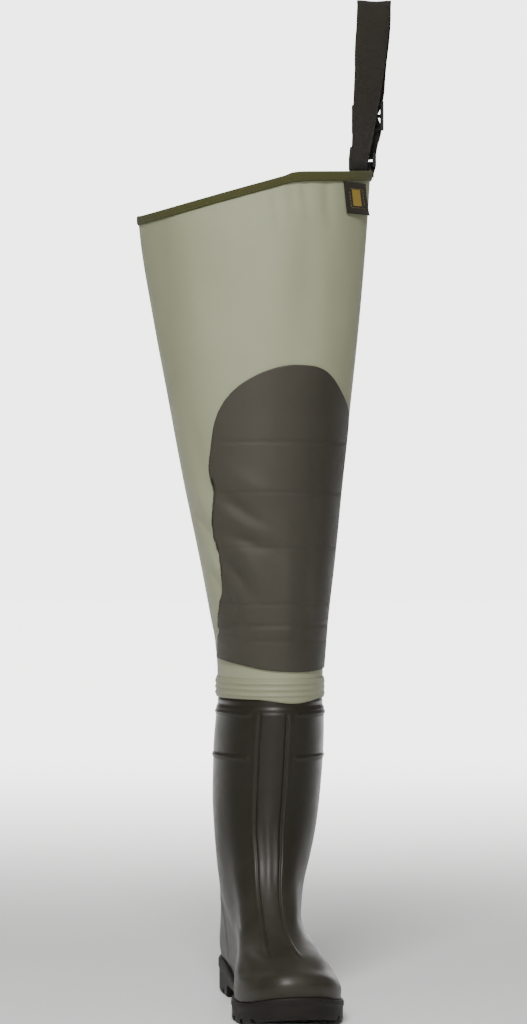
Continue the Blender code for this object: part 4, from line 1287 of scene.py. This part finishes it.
# %% [markdown]
# ## Stitches
# A row of lockstitch holds the tape, about three stitches to the centimetre. Each stitch is a small
# ellipsoid pressed half into the tape. An array along a curve could repeat it. Placing each one by its
# length along the seam keeps them even in the bends, and they are made as one mesh with one thread
# finish.

# %% Thread and stitches
STITCH_LENGTH, STITCH_PITCH, STITCH_THICKNESS = 2.5, 3.4, 0.55


def sew(bm, points, outs):
    """Small ellipsoids along a line of points, one for each pitch, lying square to the outward directions."""
    run = lengths(points)
    count = int(run[-1] / (STITCH_PITCH * MM))
    at = 0
    for k in range(count):
        want = (k + 0.5) * STITCH_PITCH * MM
        while run[at + 1] < want:
            at += 1
        share = (want - run[at]) / (run[at + 1] - run[at])
        place = points[at].lerp(points[at + 1], share) * MM
        along = (points[at + 1] - points[at]).normalized()
        side = outs[at].cross(along).normalized()
        axes = (along * STITCH_LENGTH, side * STITCH_THICKNESS, outs[at] * STITCH_THICKNESS)
        shape = Matrix.Translation(place) @ (Matrix(axes).transposed() * (MM / 2)).to_4x4()
        bmesh.ops.create_icosphere(bm, subdivisions=1, radius=1, matrix=shape)


def thread_look(name, colour, light):
    """Twisted thread with a slight gloss."""
    look, shader = new_look(name, colour, 0.6)
    tinted(look, shader, colour, light, cloudy(look, 900.0))
    return look


print("stitches", STITCH_LENGTH, "mm long,", STITCH_PITCH, "mm apart")

# %% Seam of the hem
SEAM_UP, SEAM_SINK = 1.9, 0.08
bm = bmesh.new()
for side in (1, -1):
    line, outs = [], []
    for a in hem_angles:
        rises = [rise for rise, over in hairpin(a)]
        rise = max(rises) - SEAM_SINK if side > 0 else min(rises)
        line.append(binding_point(a, rise, SEAM_UP - BINDING_WIDTH))
        outs.append(leg_out(hem_up(a), a) * side)
    sew(bm, line, outs)
olive_thread = thread_look("olive_thread", (0.075, 0.075, 0.034), (0.11, 0.11, 0.055))
dress("hem_stitches", bm, [olive_thread], "hem_binding", replaced=False)

# %% [markdown]
# ## Strap, tab and their plastic
# The strap is a flat webbing that rises from the hem, folds over where the belt runs and comes down
# behind through a slider to a loop. A short tab holds the loop to the hem. A curve with a bevel would
# twist as it likes. Here each webbing is a thin rounded section carried along a route of places, turns
# and lifts, so that its twist stays in hand.

# %% Routes of the webbing
STRAP_WIDTH = 36.0
STRAP_THICKNESS = 1.8
STRAP_STEPS = 10
BAR = 3.5
FOLD_RADIUS, FOLD_STEPS = 4.0, 4
LOOP_PLACE = (108.6, -23.6, 878.5)
LOOP_TURN = -54.0
LOOP_SIZE = (44.5, 15.0)
LOOP_BARS_UP = (LOOP_SIZE[1] - BAR) / 2
SLIDER_PLACE = (114.0, -18.7, 924.5)
SLIDER_TURN = -46.0


def round_loop_bar(step, side):
    """Rows of a route that fold a webbing half round the loop's upper bar (1) or its lower bar (-1)."""
    across, front, up = LOOP_PLACE
    rows = []
    for k in range(FOLD_STEPS + 1):
        angle = pi * k / FOLD_STEPS
        fold_up = up + side * (LOOP_BARS_UP - FOLD_RADIUS * sin(angle))
        rows.append((step + k, across, front, fold_up, LOOP_TURN, -FOLD_RADIUS * cos(angle)))
    return rows


ROUTE_COLUMNS = "step across front up turn lift"
STRAP_ROUTE = Table(
    ROUTE_COLUMNS,
    [
        (0, 101.5, 14.5, 836.0, 62.0, 0.0),
        (1, 102.5, 15.5, 858.0, 62.0, 0.0),
        (2, 105.0, 18.0, 880.0, 58.0, 0.0),
        (3, 110.0, 19.0, 925.0, 44.0, 0.0),
        (4, 116.0, 16.0, 985.0, 26.0, 0.0),
        (5, 119.0, 11.0, 1030.0, 15.0, 0.0),
        (6, 119.6, 8.0, 1040.0, 14.0, 0.0),
        (7, 120.0, 3.0, 1043.0, 13.0, 0.0),
        (8, 120.4, -2.0, 1040.0, 12.0, 0.0),
        (9, 120.4, -5.0, 1030.0, 10.0, 0.0),
        (10, 117.0, -9.0, 985.0, -20.0, 0.0),
        (11, 115.0, -16.6, 948.0, -43.0, -3.5),
        (12, 113.8, -18.3, 937.5, -45.5, -3.5),
        (13, *SLIDER_PLACE, SLIDER_TURN, 3.4),
        (14, 113.2, -19.1, 911.5, -46.5, -3.5),
        (15, 110.6, -21.6, 899.0, -51.0, -3.7),
        *round_loop_bar(16, 1),
        (21, 109.2, -22.9, 894.0, -53.0, 3.2),
    ],
)
TAB_END = 860.5
TAB_ROUTE = Table(
    ROUTE_COLUMNS,
    [
        (0, *LOOP_PLACE[:2], TAB_END, LOOP_TURN, -1.2),
        (1, *LOOP_PLACE[:2], 863.5, LOOP_TURN, -1.2),
        *round_loop_bar(2, -1),
        (7, *LOOP_PLACE[:2], 863.5, LOOP_TURN, 1.2),
        (8, *LOOP_PLACE[:2], TAB_END, LOOP_TURN, 1.2),
    ],
)


def turned(turn):
    """Width and thickness directions of a piece turned from the leg's across axis, in degrees."""
    angle = radians(turn)
    return ACROSS * cos(angle) - FRONT * sin(angle), ACROSS * sin(angle) + FRONT * cos(angle)


def route_place(route, step):
    """The middle of a webbing at a step of its route."""
    here = route(step)
    return leg_place(here["across"], here["front"], here["up"]) + turned(here["turn"])[1] * here["lift"]


print("strap:", len(STRAP_ROUTE.rows), "places, tab:", len(TAB_ROUTE.rows))

# %% Webbing
EDGE_ROUND, EDGE_FROM = 0.55, 0.93
CROWN = 0.12
FACE_POINTS = 9
STEP_NUDGE = 0.05


def webbing_slice(route, step):
    """A closed line round the webbing at a step of its route: two faces with rounded edges."""
    run = route_place(route, step + STEP_NUDGE) - route_place(route, step - STEP_NUDGE)
    wide = turned(route.read("turn", step))[0]
    wide = (wide - run * (wide.dot(run) / run.length_squared)).normalized()
    deep = run.cross(wide).normalized()
    middle = route_place(route, step)
    line = []
    for face in (1, -1):
        for k in range(FACE_POINTS):
            across = face * (2 * k / (FACE_POINTS - 1) - 1)
            thin = EDGE_ROUND * ramp(EDGE_FROM, 1.0, abs(across))
            half = STRAP_THICKNESS / 2 - thin + CROWN * (1 - across * across) - CROWN
            line.append(middle + wide * (across * STRAP_WIDTH / 2) - deep * (face * half))
    return line + line[:1]


def make_webbing(name, route, look, node):
    """A webbing along its route, with both ends drawn together and closed."""
    last = route.rows[-1][0]
    rows = [webbing_slice(route, k / STRAP_STEPS) for k in range(last * STRAP_STEPS + 1)]
    bm = shaped_grid(rows)
    bmesh.ops.holes_fill(bm, edges=[edge for edge in bm.edges if edge.is_boundary], sides=0)
    return dress(name, bm, [look], node)


webbing = woven("webbing", (0.0185, 0.0148, 0.0094), (0.0135, 0.0108, 0.0068), 1.5, 0.9)
tab_webbing = woven("tab_webbing", (0.022, 0.020, 0.017), (0.016, 0.015, 0.013), 1.5, 0.9)
make_webbing("strap_webbing", STRAP_ROUTE, webbing, "strap")
make_webbing("tab_webbing", TAB_ROUTE, tab_webbing, "loop_tab")

# %% Plastic of the slider and the loop
SOFT_EDGE, SOFT_ANGLE = 0.3, radians(25)
plastic = moulded("buckle_plastic", (0.013, 0.013, 0.013), (0.022, 0.022, 0.021), 0.4, 0.1, 1800.0)
for name in ("strap_slider", "strap_loop"):
    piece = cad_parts[name]
    piece.data.materials.clear()
    piece.data.materials.append(plastic)
    soften = piece.modifiers.new("soften", "BEVEL")
    soften.width = SOFT_EDGE * MM
    soften.segments = 2
    soften.limit_method = "ANGLE"
    soften.angle_limit = SOFT_ANGLE
    print(name, "keeps its solid, with softened edges")

# %% [markdown]
# ## The tag
# A small textile tag is sewn under the binding next to the strap, and its lower corner stands off the
# cloth. It is dark, with a raised border and a plain gold panel in a frame of stitches. The panel is
# part of the weave, so it is a tint and not a piece: two limits on the cloth's own map cut out its
# rectangle.

# %% Tag form
TAG_SIZE = (34.0, 33.0)
TAG_THICKNESS = 1.4
TAG_WALL = 0.7
TAG_FROM, TAG_LEAN = radians(52), radians(3)
TAG_LIFT, TAG_LIFT_INNER = 4.0, 0.8
TAG_CELLS = 40
TAG_EDGE, TAG_EDGE_DROP = 0.03, 0.4
TAG_BORDER, TAG_BORDER_SLOPE = 0.13, 0.05
TAG_FIELD = 0.5


def tag_point(share_across, share_down, rise):
    """A point of the tag: 0 to 1 across from its inner edge, 0 to 1 down from the binding."""
    up = hem_up(TAG_FROM) - BINDING_WIDTH - GAP - TAG_SIZE[1] * share_down
    angle = leg_angle_at(up, TAG_FROM + TAG_LEAN * share_down, TAG_SIZE[0] * share_across)
    lift = GAP + (TAG_LIFT_INNER + (TAG_LIFT - TAG_LIFT_INNER) * share_across) * share_down**2
    return leg_point(up, angle) + leg_out(up, angle) * (lift + rise)


def tag_rise(share_across, share_down):
    """Thickness of the tag's face: a rim, a sunken field and rounded edges."""
    edge = min(share_across, 1 - share_across, share_down, 1 - share_down)
    field = TAG_FIELD * ramp(TAG_BORDER, TAG_BORDER + TAG_BORDER_SLOPE, edge)
    return TAG_THICKNESS - TAG_EDGE_DROP * ramp(TAG_EDGE, 0, edge) - field


cells = [k / TAG_CELLS for k in range(TAG_CELLS + 1)]
face = [[tag_point(a, d, tag_rise(a, d)) for a in cells] for d in cells]
print("tag", *TAG_SIZE, "mm")

# %% Tag
# middle and half size of the tag's gold panel, across and down, in millimetres
TAG_PANEL = ((17.0, 6.5), (16.0, 8.5))
PANEL_GOLD = (0.23, 0.155, 0.02, 1)


def on_panel(look):
    """1 on the tag's panel and 0 round it, read from the cloth's own map."""
    apart = add(look, "SeparateXYZ", Vector=cloth_map(look))
    inside = []
    for k, (middle, half) in enumerate(TAG_PANEL):
        away = math(look, "ABSOLUTE", math(look, "SUBTRACT", apart.outputs[k], middle * MM))
        inside.append(math(look, "LESS_THAN", away, half * MM))
    return math(look, "MULTIPLY", *inside)


tag_cloth = woven("tag_cloth", (0.016, 0.011, 0.005), (0.011, 0.008, 0.004), 0.8, 0.6)
shader = tag_cloth.node_tree.nodes["Principled BSDF"]
border = shader.inputs["Base Color"].links[0].from_socket
feed(shader, Base_Color=mixed(tag_cloth, on_panel(tag_cloth), border, PANEL_GOLD))
tag = dress("tag_cloth", shaped_grid(face), [tag_cloth], "hem_tag")
thicken(tag, TAG_WALL)

# %% Frame of stitches on the tag
SEAM_IN = 0.2


def tag_seam(bm, corners):
    """Stitches along straight runs between corners given as shares across and down the tag."""
    for (a0, d0), (a1, d1) in zip(corners, corners[1:]):
        run = [(a0 + (a1 - a0) * share, d0 + (d1 - d0) * share) for share in cells]
        line = [tag_point(a, d, tag_rise(a, d)) for a, d in run]
        outs = [(tag_point(a, d, 1) - tag_point(a, d, 0)).normalized() for a, d in run]
        sew(bm, line, outs)


near, far = SEAM_IN, 1 - SEAM_IN
bm = bmesh.new()
tag_seam(bm, [(near, near), (far, near), (far, far), (near, far), (near, near)])
dull_gold = thread_look("dull_gold_thread", (0.20, 0.135, 0.022), (0.28, 0.20, 0.05))
dress("tag_stitches", bm, [dull_gold], "hem_tag", replaced=False)

# %% [markdown]
# ## Check the size and finish
# Cloth may stand a little proud of its solid; the growth of the wader's box is printed.

# %% Finish
new_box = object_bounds()
growth = (new_box[1] - new_box[0]) - (cad_box[1] - cad_box[0])
print("box grows by", [round(more / MM, 2) for more in growth], "mm")
